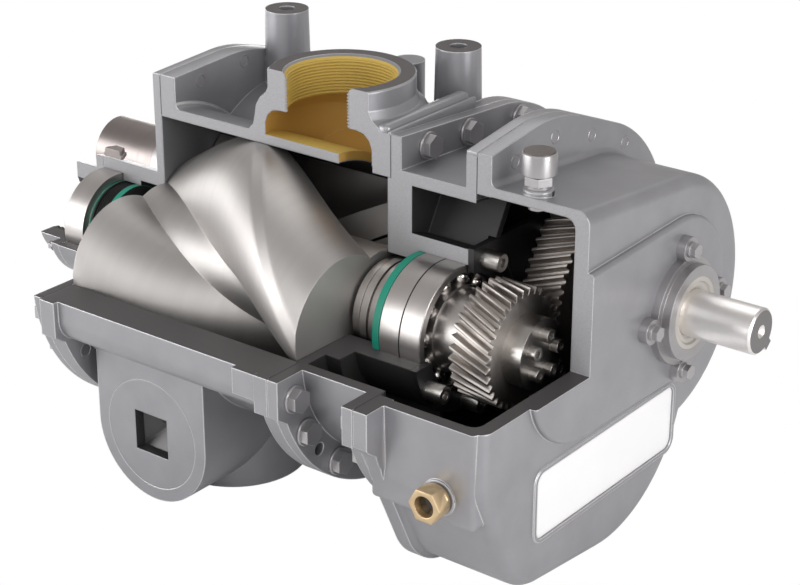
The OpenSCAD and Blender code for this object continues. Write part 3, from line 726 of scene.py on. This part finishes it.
def combine(obj, other, operation):
    tool = obj.modifiers.new("combine", "BOOLEAN")
    tool.operation = operation
    tool.solver = "EXACT"
    tool.object = other
    pick(obj)
    bpy.ops.object.modifier_apply(modifier=tool.name)
    bpy.data.objects.remove(other, do_unlink=True)


# loops of points joined into one closed body
def loftRings(name, rings):
    obj = emptyMesh(name)
    drawChains(obj, rings)
    startEdit()
    bpy.ops.mesh.bridge_edge_loops()
    bpy.ops.mesh.select_all(action="DESELECT")
    endEdit()
    for ring in (rings[0], rings[-1]):
        for axis in range(3):
            if max(p[axis] for p in ring) - min(p[axis] for p in ring) < 1e-6:
                capAt(obj, axis, ring[0][axis])
    return obj


# the distance from a middle point to the rim of a shape made of discs and straight sides
def reach(discs, polygon, middle, angle):
    ux, uy = math.cos(angle), math.sin(angle)
    best = 0.0
    for cy, cz, r in discs:
        dy, dz = cy - middle[0], cz - middle[1]
        along = dy * ux + dz * uy
        inside = along * along - dy * dy - dz * dz + r * r
        if inside > 0:
            best = max(best, along + math.sqrt(inside))
    for index, corner in enumerate(polygon):
        following = polygon[(index + 1) % len(polygon)]
        ay, az = corner[0] - middle[0], corner[1] - middle[1]
        by, bz = following[0] - middle[0], following[1] - middle[1]
        cross = (by - ay) * uy - (bz - az) * ux
        if abs(cross) < 1e-9:
            continue
        share = (az * ux - ay * uy) / cross
        away = ((by - ay) * az - (bz - az) * ay) / cross
        if 0 <= share <= 1 and away > best:
            best = away
    return best


# discs from one to another, each as y, z and radius
def spread(a, b, count=36):
    return [tuple(a[i] + (b[i] - a[i]) * k / count for i in range(3)) for k in range(count + 1)]


def rimPoints(discs, middle, x, inset, count=240, polygon=()):
    smaller = [(y, z, r - inset) for y, z, r in discs]
    points = []
    for index in range(count):
        angle = 2 * math.pi * index / count
        away = reach(smaller, polygon, middle, angle)
        y = middle[0] + away * math.cos(angle)
        z = middle[1] + away * math.sin(angle)
        points.append((x * mm, y * mm, z * mm))
    return points


# rings from a square start at x0 to a rounded end at x1
def roundedRings(discs, middle, x0, x1, radius, inset=0.0, steps=7, count=240, polygon=()):
    rings = [rimPoints(discs, middle, x0, inset, count, polygon)]
    for step in range(steps + 1):
        turn = math.pi / 2 * step / steps
        x = x1 - radius + radius * math.sin(turn)
        rings.append(rimPoints(discs, middle, x, inset + radius * (1 - math.cos(turn)), count, polygon))
    return rings


def boxBody(name, low, high, bevel=0.0):
    bpy.ops.mesh.primitive_cube_add(size=1)
    obj = bpy.context.object
    obj.name = name
    for vert in obj.data.vertices:
        vert.co = Vector([(low[i] if vert.co[i] < 0 else high[i]) * mm for i in range(3)])
    if bevel:
        bevelEdges(obj, bevel, 40, 4)
    return obj


# the corner that is cut away, a little smaller or larger where faces would meet
def cornerBox(shift=0.0):
    return boxBody("cornerBox", (-400, -400, section["z"] + shift), (600, section["y"] - shift, 400))


# a turned body about an axis, as distance along it and radius
def turnedBody(name, origin, axis, profile, steps=64):
    obj = emptyMesh(name)
    points = []
    for along, radius in profile:
        p = list(origin)
        p[axis] += along
        p[(axis + 1) % 3] += radius
        points.append([v * mm for v in p])
    drawChains(obj, [points], closed=False)
    direction = [0, 0, 0]
    direction[axis] = 1
    spinRound(origin, direction, steps)
    return obj


def rodBody(name, origin, radius, length, steps=96):
    return turnedBody(name, origin, 0, [(0, 0), (0, radius), (length, radius), (length, 0)], steps)


# places on a circle about a shaft axis, by angles in degrees
def onCircle(x, centre, radius, turns):
    return [(x, centre + radius * math.cos(math.radians(turn)), radius * math.sin(math.radians(turn)))
        for turn in turns]


# one modelled piece copied to its places, each copy with its own mesh
def placeCopies(first, name, places, material, angle, slot="casting", stands=()):
    for made, place in enumerate(places):
        obj = first.copy()
        obj.data = first.data.copy()
        obj.name = name + "%02d" % (made + 1)
        link(obj)
        for vert in obj.data.vertices:
            vert.co += Vector(place) * mm
        replaced = () if made else stands
        finish(obj, "casing", material, *replaced, angle=angle, slot=slot)
    bpy.data.objects.remove(first, do_unlink=True)


# the near rotor is drawn anew with finer faces on the same formula
rotorLook = {
    "tip": 96.98,
    "root": axisGap / 3 - 0.02,
    "flankX": 44.0,
    "flankY": 5.0,
    "land": 4.7,
    "start": 0.5,
    "length": 221.7,
    "wrap": 172.0,
    "phase": 6.5,
    "steps": 110,
    "tipAngles": [0.0, 1.6, 3.2, 4.7],
    "flankTurn": 66.2,
    "flankSteps": 26,
    "rootAngles": [76.0, 81.0, 85.5],
}


def mainRadius(angle):
    r = rotorLook
    t = math.radians(abs(angle - 180 * round(angle / 180)))
    land = math.radians(r["land"])
    size = math.hypot(r["tip"] * math.cos(land) - r["flankX"], r["tip"] * math.sin(land) + r["flankY"])
    k = r["flankX"] * math.cos(t) - r["flankY"] * math.sin(t)
    flank = k + math.sqrt(size ** 2 - r["flankX"] ** 2 - r["flankY"] ** 2 + k * k)
    return max(r["root"], min(r["tip"], flank))


def makeMainRotor():
    look = rotorLook
    obj = emptyMesh("mainRotorBody")
    start, length = look["start"] * mm, look["length"] * mm
    count = look["flankSteps"]
    flank = [look["land"] + look["flankTurn"] * (i + 1) / count for i in range(count)]
    quarter = look["tipAngles"] + flank + look["rootAngles"]
    angles = quarter + [90.0] + [180 - a for a in reversed(quarter[1:])]
    points = []
    for half in (0, 180):
        for a in angles:
            r = mainRadius(a) * mm
            t = math.radians(a + half + look["phase"])
            points.append((start, r * math.cos(t), r * math.sin(t)))
    drawChains(obj, [points])
    screwSweep(obj, look["wrap"], length, look["steps"])
    capAt(obj, 0, start)
    capAt(obj, 0, start + length)
    finish(obj, "main_rotor_set", rotorSteel, "main_rotor", angle=18, slot="rotor_steel")


def makeGateRotor():
    obj = mergedCopy("gate_rotor", "gateRotorBody")
    finish(obj, "gate_rotor_set", rotorSteel, "gate_rotor", angle=22, slot="rotor_steel")


def makeGears():
    for node, body in (("main_gear", "main_rotor_set"), ("gate_gear", "gate_rotor_set")):
        obj = mergedCopy(node, node.replace("_gear", "GearWheel"))
        bevelEdges(obj, 0.35, 38)
        finish(obj, body, gearSteel, node, angle=26, slot="rotor_steel")


makeMainRotor()
makeGateRotor()
makeGears()
print("rotors and gears made")


# gear cover with a rounded end, made of the same circles as the casting
coverLook = {
    "start": 301.3,
    "flange": 11.75,
    "end": 393.8,
    "wall": 7.0,
    "round": 10.0,
    "fillet": 4.5,
    "middle": (50, -25),
    "main": (0, 0, 110),
    "gate": (axisGap, 0, 98),
    "sump": (50, -58, 106),
    "toe": (-35, -105, 50),
    "heel": (-82, -52, 30),
    "mouth": [(0, 0, 102.6), (axisGap, 0, 90.6)],
    "padLow": (301.3, -113, -83),
    "padHigh": (388, -70, -3),
    "padRound": 3.5,
    "raised": [(0, 6, 60), (axisGap, 6, 64)],
    "raisedMiddle": (63, 6),
    "raisedReach": (-3, 5),         # before and past the end face, as in the next two
    "frameReach": (-2, 1.2),
    "recessReach": (-1.5, 4),
    "raisedRound": 3.0,
    "hollowRound": 8.0,
    "mouthMiddle": (60, 0),
    "shaftHole": (375, 30, 30),     # x, radius and length
    "sightBossY": -98,
    "breatherBossZ": 90,
    "sightBoss": [(0, 0), (0, 13), (-15.6, 13), (-16.2, 12.4), (-16.2, 0)],
    "breatherBoss": [(0, 0), (0, 11), (22.5, 11), (24, 9.8), (24, 0)],
}
flangeLook = {
    "main": (0, 0, 130),
    "gate": (axisGap, 0, 121),
    "crown": (76, 7, 133),
    "leftCrown": (78, 9, 125),
    "flat": [(-131.5, 5), (-131.5, -39), (-122.5, -45), (-90, -45), (-90, 5)],
}
plateLook = {"middle": (43, -91), "half": (82, 18), "corner": 8, "frame": 3}
breatherPlace = (344, 20)     # x and y
sightPlace = (360, -64)       # x and z


def coverDiscs():
    c = coverLook
    return (spread(c["main"], c["gate"]) + spread(c["main"], c["heel"]) + spread(c["heel"], c["toe"])
        + spread(c["toe"], c["sump"]) + spread(c["main"], c["sump"]))


def plateRings(grow, x0, x1):
    halfY, halfZ = plateLook["half"]
    radius = plateLook["corner"] + grow
    corners = ((halfY, halfZ, 0), (-halfY, halfZ, 90), (-halfY, -halfZ, 180), (halfY, -halfZ, 270))
    rings = []
    for x in (x0, x1):
        ring = []
        for cy, cz, first in corners:
            for step in range(7):
                t = math.radians(first + 15 * step)
                y = plateLook["middle"][0] + cy + radius * math.cos(t)
                z = plateLook["middle"][1] + cz + radius * math.sin(t)
                ring.append((x * mm, y * mm, z * mm))
        rings.append(ring)
    return rings


def flangeDiscs(crown):
    return spread(flangeLook["main"], crown) + spread(crown, flangeLook["gate"])


def makeCoverShell():
    c = coverLook
    discs, middle = coverDiscs(), c["middle"]
    foot = c["start"] + c["flange"]
    rings = [rimPoints(discs, middle, c["start"], -c["fillet"])]
    for step in range(6):
        turn = math.pi / 2 * step / 5
        x = foot + c["fillet"] * (1 - math.cos(turn))
        rings.append(rimPoints(discs, middle, x, -c["fillet"] * (1 - math.sin(turn))))
    rings = rings + roundedRings(discs, middle, c["end"] - c["round"] - 10, c["end"], c["round"])
    obj = loftRings("coverShell", rings)
    flange = roundedRings(flangeDiscs(flangeLook["crown"]), middle, c["start"], foot, 1.0, steps=2, count=360,
        polygon=flangeLook["flat"])
    raisedSpan, frameSpan, recessSpan = (
        [c["end"] + along for along in c[key]] for key in ("raisedReach", "frameReach", "recessReach"))
    raised = roundedRings(spread(*c["raised"]), c["raisedMiddle"], *raisedSpan, c["raisedRound"], count=160)
    sightBoss = (sightPlace[0], c["sightBossY"], sightPlace[1])
    added = (
        loftRings("flangePart", flange),
        boxBody("padPart", c["padLow"], c["padHigh"], c["padRound"]),
        turnedBody("sightPart", sightBoss, 1, c["sightBoss"]),
        turnedBody("breatherPart", breatherPlace + (c["breatherBossZ"],), 2, c["breatherBoss"]),
        loftRings("raisedPart", raised),
        loftRings("framePart", plateRings(plateLook["frame"], *frameSpan)),
    )
    for part in added:
        combine(obj, part, "UNION")
    hollowEnd = c["end"] - c["wall"] - 4
    hollow = roundedRings(discs, middle, foot, hollowEnd, c["hollowRound"], c["wall"], 4, 200)
    mouth = roundedRings(spread(*c["mouth"]), c["mouthMiddle"], c["start"] - 5, foot + 2, 1.0, steps=2,
        count=300)
    holeX, holeRadius, holeLength = c["shaftHole"]
    taken = (
        loftRings("recessPart", plateRings(0, *recessSpan)),
        loftRings("hollowPart", hollow),
        loftRings("mouthPart", mouth),
        rodBody("holePart", (holeX, axisGap, 0), holeRadius, holeLength, 64),
        cornerBox(),
    )
    for part in taken:
        combine(obj, part, "DIFFERENCE")
    finish(obj, "casing", castPaint, "gear_cover", angle=32)


makeCoverShell()
print("cover made")


# fillets where the casing meets its flanges
filletLook = {
    "radius": 5.0,
    "sides": {"Left": (14.66, 1), "Right": (213.1, -1)},     # x of the flange face, direction into the casing
    "main": 105.7,
    "gate": 90.2,
    "mainBore": 97.3,
    "gateBore": 84.6,
}


def arcProfile(x, r, size, direction):
    profile = [(x, r - 2), (x, r + size)]
    for step in range(1, 6):
        turn = math.pi / 2 * step / 6
        profile.append((x + direction * size * (1 - math.cos(turn)), r + size * (1 - math.sin(turn))))
    return profile + [(x + direction * size, r), (x + direction * size, r - 2), (x, r - 2)]


def makeFillets():
    f = filletLook
    walls = (("Main", 0, axisGap, f["main"], f["gateBore"]), ("Gate", axisGap, 0, f["gate"], f["mainBore"]))
    for tag, (x, direction) in f["sides"].items():
        for wall, y, other, radius, bore in walls:
            profile = arcProfile(x, radius, f["radius"], direction)
            obj = turnedBody("fillet" + wall + tag, (0, y, 0), 0, profile, 120)
            combine(obj, rodBody("borePart", (x - 20, other, 0), bore, 40), "DIFFERENCE")
            combine(obj, cornerBox(-0.3), "DIFFERENCE")
            finish(obj, "casing", castPaint, angle=35)


# small rings at the bolt ends, as x of the face and places on it
markLook = {
    "profile": [(-0.4, 4.0), (0.15, 4.4), (0.3, 4.8), (0.15, 5.2), (-0.4, 5.6)],
    "faces": [
        (14.68, [(37.1, 121.0), (88.2, 124.6)]),
        (313.07, [(36.4, 120.8), (86.1, 125.0), (135.4, 113.2), (182, 94), (214, 62)]),
    ],
}


def makeMarks():
    first = turnedBody("boltEnd", (0, 0, 0), 0, markLook["profile"], 40)
    places = [(x, y, z) for x, face in markLook["faces"] for y, z in face]
    placeCopies(first, "boltEnd", places, machinedIron, 50)


# higher tops of the flanges, as x of both faces and the height they start from
crownLook = {
    "plateCrown": (flangeLook["leftCrown"], -7.35, -0.05, 108),
    "casingCrown": (flangeLook["leftCrown"], 0.05, 14.66, 62),
    "headCrown": (flangeLook["crown"], 291.8, 300.65, 108),
}


def makeCrown(name, disc, x0, x1, low):
    obj = loftRings(name, roundedRings(flangeDiscs(disc), (60, 0), x0, x1, 1.0, steps=2, count=300))
    combine(obj, boxBody("lowPart", (x0 - 5, -200, -300), (x1 + 5, 400, low)), "DIFFERENCE")
    for y, wall in ((0, "main"), (axisGap, "gate")):
        bore = rodBody("borePart", (x0 - 5, y, 0), filletLook[wall] - 1.5, x1 - x0 + 10)
        combine(obj, bore, "DIFFERENCE")
    combine(obj, cornerBox(-0.4), "DIFFERENCE")
    finish(obj, "casing", castPaint, angle=32)


# washers under the bolts of the casing's right flange
washerLook = {
    "x": 234.75,
    "profile": [(0, 5.4), (0, 10.2), (1.4, 10.5), (2.2, 9.9), (2.2, 5.4), (0, 5.4)],
    "mainCircle": (0, 118, (194, 210, 235, 262)),
    "gateCircle": (axisGap, 109, (-75, -45, -15, 15, 45, 75)),
    "single": [(38.5, 115), (88.5, 112), (63.5, -113.5)],
}


def makeWashers():
    w = washerLook
    first = turnedBody("washer", (0, 0, 0), 0, w["profile"], 40)
    places = onCircle(w["x"], *w["mainCircle"]) + onCircle(w["x"], *w["gateCircle"])
    places = places + [(w["x"], y, z) for y, z in w["single"]]
    placeCopies(first, "washer", places, boltPaint, 40)


# socket screws that hold the retainer plate, by their angles round each axis
screwLook = {
    "profile": [(299.4, 0), (299.4, 7.2), (313.6, 7.2), (314.4, 6.6), (314.4, 3.4), (311, 3.2), (311, 0)],
    "circle": 53.5,
    "main": (66, 213, 270, 330),
    "gate": (66, 120, 213, 270, 330),
}


def makeRetainerScrews():
    s = screwLook
    first = turnedBody("retainerScrew", (0, 0, 0), 0, s["profile"], 40)
    places = onCircle(0, 0, s["circle"], s["main"]) + onCircle(0, axisGap, s["circle"], s["gate"])
    placeCopies(first, "retainerScrew", places, darkSteel, 40, stands=["retainer_screws"])


makeFillets()
makeMarks()
for crownName, crownSizes in crownLook.items():
    makeCrown(crownName, *crownSizes)
makeWashers()
makeRetainerScrews()
print("flanges and screws made")


# balls, and cages painted black as shade in the gap between the races, seen in the open side of the drive end
# bearings
ballLook = {
    "count": 11,
    "radius": 6.1,
    "circle": 37.0,
    "x": 286.8,
    "first": 0.35,
    # ring behind the balls, black as painted shade in the gap
    "cage": [(279.0, 33.4), (279.0, 40.6), (285.0, 40.6), (285.0, 39.4), (280.5, 39.0), (280.5, 35.0),
        (285.0, 34.6), (285.0, 33.4), (279.0, 33.4)],
}


def makeBalls():
    b = ballLook
    profile = [(-b["radius"], 0)]
    for step in range(1, 18):
        turn = math.pi * step / 18
        profile.append((-b["radius"] * math.cos(turn), b["radius"] * math.sin(turn)))
    first = turnedBody("ballShape", (0, 0, 0), 0, profile + [(b["radius"], 0)], 28)
    turns = [360 * (index + b["first"]) / b["count"] for index in range(b["count"])]
    places = onCircle(b["x"], 0, b["circle"], turns) + onCircle(b["x"], axisGap, b["circle"], turns)
    placeCopies(first, "ball", places, ballSteel, 30, "bearing_steel", ["bearing_balls", "main_ball_cage"])
    for y in (0, axisGap):
        cage = turnedBody("cage%d" % (y + 1), (0, y, 0), 0, b["cage"], 72)
        finish(cage, "casing", blackRubberAndShade, slot="black_steel")


# small end of the near axis, each outline as distance along x and radius
leftLook = {
    # a black ring as painted shade in the split between the outer races
    "split": [(274.5, 46.8), (274.5, 47.56), (275.5, 47.56), (275.5, 46.8)],
    "cap": [(-99.6, 24.5), (-99.6, 37.6), (-98.8, 38.4), (-76.5, 38.4), (-76.5, 48.8), (-68.1, 48.8),
        (-68.1, 24.5), (-99.6, 24.5)],
    "shaftEnd": -66.6,
    "plugPlace": (-57.5, 9, 0),
    "plug": [(50, 0), (50, 10.5), (52.6, 10.5), (53.2, 9.2), (56.4, 9.0), (57.0, 8.2), (57.0, 0)],
}
packingLook = {
    "capPacking": {"start": -99.0, "pitch": 4.6, "count": 6, "steps": (0, 1.2, 3.0, 4.2), "foot": 24.6,
        "tip": 21.6, "before": [(-99.3, 25.5)], "after": [(-71.2, 25.5), (-99.3, 25.5)]},
    "sealPacking": {"start": -43.0, "pitch": 2.0, "count": 5, "steps": (0, 0.6, 1.3, 1.9), "foot": 31.0,
        "tip": 33.2, "before": [(-43.2, 26)], "after": [(-32.2, 31), (-32.2, 26), (-43.2, 26)]},
}


def packingBody(name):
    look = packingLook[name]
    teeth = []
    for index in range(look["count"]):
        along = look["start"] + index * look["pitch"]
        for step, radius in zip(look["steps"], ("foot", "tip", "tip", "foot")):
            teeth.append((along + step, look[radius]))
    return turnedBody(name, (0, 0, 0), 0, look["before"] + teeth + look["after"], 96)


def makeLeftEnd():
    left = leftLook
    # black ring as painted shade between the races
    split = turnedBody("raceSplitShade", (0, 0, 0), 0, left["split"], 96)
    finish(split, "casing", blackRubberAndShade, slot="black_steel")
    cap = turnedBody("nearCapBody", (0, 0, 0), 0, left["cap"], 96)
    combine(cap, cornerBox(), "DIFFERENCE")
    finish(cap, "casing", castPaint, "near_end_cap", angle=35)
    packing = packingBody("capPacking")
    combine(packing, cornerBox(0.05), "DIFFERENCE")
    finish(packing, "casing", blackRubberAndShade, angle=25)
    finish(packingBody("sealPacking"), "casing", blackRubberAndShade, angle=25)
    shaft = mergedCopy("main_shaft", "mainShaftBody")
    combine(shaft, boxBody("tipPart", (-140, -60, -60), (left["shaftEnd"], 60, 60)), "DIFFERENCE")
    finish(shaft, "main_rotor_set", shaftSteel, "main_shaft", angle=30, slot="rotor_steel")
    plug = turnedBody("housingPlug", left["plugPlace"], 2, left["plug"], 6)
    combine(plug, cornerBox(), "DIFFERENCE")
    finish(plug, "casing", brownIron, angle=20)


makeBalls()
makeLeftEnd()
print("bearings made")


# breather cap with a crisp collar and a sintered disc let into its top
breatherLook = {
    "cap": [(123.5, 7.6), (123.5, 12.1), (123.9, 12.5), (138.3, 12.5), (139.2, 12.2), (139.6, 11.4),
        (139.2, 11.0), (139.2, 0)],
    "disc": [(139.0, 11.2), (140.2, 10.9), (140.5, 9.5), (140.5, 0)],
}


def makeBreather():
    cap = turnedBody("breatherCap", breatherPlace + (0,), 2, breatherLook["cap"])
    finish(cap, "casing", machinedIron, "breather_cap", angle=35)
    disc = turnedBody("breatherDisc", breatherPlace + (0,), 2, breatherLook["disc"])
    finish(disc, "casing", sinterMetal, angle=40)


# sight glass smaller than the one tried in the other tools, as pictured
sightLook = {"from": (370, -113, -58), "y": -112.5, "size": 0.68, "bevel": 0.4}


def makeSightGlass():
    middle = Vector(sightLook["from"]) * mm
    place = Vector((sightPlace[0], sightLook["y"], sightPlace[1])) * mm
    pieces = (("sight_glass_body", "sightBody", brassMetal), ("sight_glass_lens", "sightLens", lensDark))
    for node, name, material in pieces:
        obj = mergedCopy(node, name)
        for vert in obj.data.vertices:
            vert.co = place + (vert.co - middle) * sightLook["size"]
        bevelEdges(obj, sightLook["bevel"], 40)
        finish(obj, "casing", material, node, angle=35)


# rounded ridge and lip on top of the casing's right flange, as two corners and a bevel
ridgeLook = {
    "flangeRidge": ((211.4, 7.9, 121), (222.4, 108, 135.4), 4.2),
    "flangeLip": ((222.0, 7.9, 121), (225.0, 112, 131.2), 1.2),
}


def makeRidge():
    for name, (low, high, bevel) in ridgeLook.items():
        finish(boxBody(name, low, high, bevel), "casing", castPaint, angle=40)


makeBreather()
makeSightGlass()
makeRidge()
print("breather, sight glass and ridge made")


# turns of the inlet's thread, as rings
threadLook = {
    "low": 126.4,
    "high": 154.2,
    "radius": 41.12,
    "pitch": 2.4,
    "depth": 1.25,
    "flank": 0.42,
    "backing": 0.25,
}


def makePortThread():
    t = threadLook
    x, y = inletPlace
    count = int((t["high"] - t["low"]) / t["pitch"])
    top = t["low"] + count * t["pitch"]
    root, crest = x + t["radius"], x + t["radius"] - t["depth"]
    points = [(root + t["backing"], t["low"] - 0.1)]
    for index in range(count):
        base = t["low"] + index * t["pitch"]
        points = points + [(root, base), (crest, base + t["pitch"] * t["flank"]),
            (crest, base + t["pitch"] * (1 - t["flank"]))]
    points = points + [(root, top), (root + t["backing"], top + 0.1)]
    obj = emptyMesh("portThread")
    drawChains(obj, [[(a * mm, y * mm, b * mm) for a, b in points]])
    spinRound((x, y, 0), (0, 0, 1), 96)
    combine(obj, cornerBox(0.06), "DIFFERENCE")
    finish(obj, "casing", castPaint, angle=20)


makePortThread()
print("thread made")


# floor, light and camera
cameraLook = {
    "place": (1.071, -1.076, 0.6065),
    "azimuth": 37.8,
    "elevation": 23.5,
    "lens": 92.1,
    "shift": (0.0044, -0.0022),
    "sensor": 36,
    "clip": (0.05, 50),
}
worldLook = {"colour": (0.80, 0.77, 0.75), "strength": 0.52}
floorLook = {"colour": (0.93, 0.93, 0.93), "rough": 0.9, "size": 8, "middle": (0.15, 0.05), "gap": 0.0005}
lampLook = {     # place, point aimed at, size and power
    "keyLamp": ((-1.4, -1.5, 0.3), (0.15, 0, 0), (2.0, 1.2), 30),
    "frontLamp": ((0.9, -1.9, 1.3), (0.15, 0, 0), (1.8, 1.6), 15),
    "sideLamp": ((1.9, -0.2, 0.35), (0.2, 0, 0), (0.8, 1.0), 14),
    "rimLamp": ((-1.7, 0.9, 0.0), (0.2, 0, 0), (2.4, 0.4), 14),
    "topLamp": ((-0.4, 1.2, 1.9), (0.2, 0, 0), (1.8, 1.6), 10),
}


def makeFloor():
    place = floorLook["middle"] + (cadLow[2] - floorLook["gap"],)
    bpy.ops.mesh.primitive_plane_add(size=floorLook["size"], location=place)
    floor = bpy.context.object
    floor.name = "studioFloor"
    material = bpy.data.materials.new("paleFloor")
    material.use_nodes = True
    tree = material.node_tree
    shader = tree.nodes["Principled BSDF"]
    shader.inputs["Base Color"].default_value = floorLook["colour"] + (1,)
    shader.inputs["Roughness"].default_value = floorLook["rough"]
    glow = add(tree, "Emission")
    glow.inputs["Color"].default_value = (1, 1, 1, 1)
    mix = add(tree, "MixShader")
    path = add(tree, "LightPath")
    tree.links.new(path.outputs["Is Camera Ray"], mix.inputs[0])
    tree.links.new(shader.outputs[0], mix.inputs[1])
    tree.links.new(glow.outputs[0], mix.inputs[2])
    tree.links.new(mix.outputs[0], tree.nodes["Material Output"].inputs["Surface"])
    floor.data.materials.append(material)


# the camera sees pure white, the piece is lit by a softer warm sky
def makeWorld():
    world = bpy.data.worlds.new("studio")
    bpy.context.scene.world = world
    world.use_nodes = True
    tree = world.node_tree
    background = tree.nodes["Background"]
    path = add(tree, "LightPath")
    colour = mixColour(tree, path.outputs["Is Camera Ray"], worldLook["colour"], (1.0, 1.0, 1.0))
    tree.links.new(colour, background.inputs["Color"])
    strength = mixValue(tree, path.outputs["Is Camera Ray"], worldLook["strength"], 1.0)
    tree.links.new(strength, background.inputs["Strength"])


def makeLamp(name, place, aim, size, power):
    lamp = bpy.data.lights.new(name, "AREA")
    lamp.shape = "RECTANGLE"
    lamp.size, lamp.size_y = size
    lamp.energy = power
    obj = bpy.data.objects.new(name, lamp)
    link(obj)
    obj.location = place
    obj.rotation_euler = (Vector(place) - Vector(aim)).to_track_quat("Z", "Y").to_euler()


def makeCamera():
    data = bpy.data.cameras.new("photoCamera")
    camera = bpy.data.objects.new("photoCamera", data)
    link(camera)
    camera.location = cameraLook["place"]
    tilt = math.radians(90 - cameraLook["elevation"])
    camera.rotation_euler = (tilt, 0, math.radians(cameraLook["azimuth"]))
    data.lens = cameraLook["lens"]
    data.sensor_width = cameraLook["sensor"]
    data.shift_x, data.shift_y = cameraLook["shift"]
    data.clip_start, data.clip_end = cameraLook["clip"]
    bpy.context.scene.camera = camera


makeFloor()
makeWorld()
for lampName, lampSizes in lampLook.items():
    makeLamp(lampName, *lampSizes)
makeCamera()
bpy.context.scene.view_settings.view_transform = "Standard"
print("studio ready")
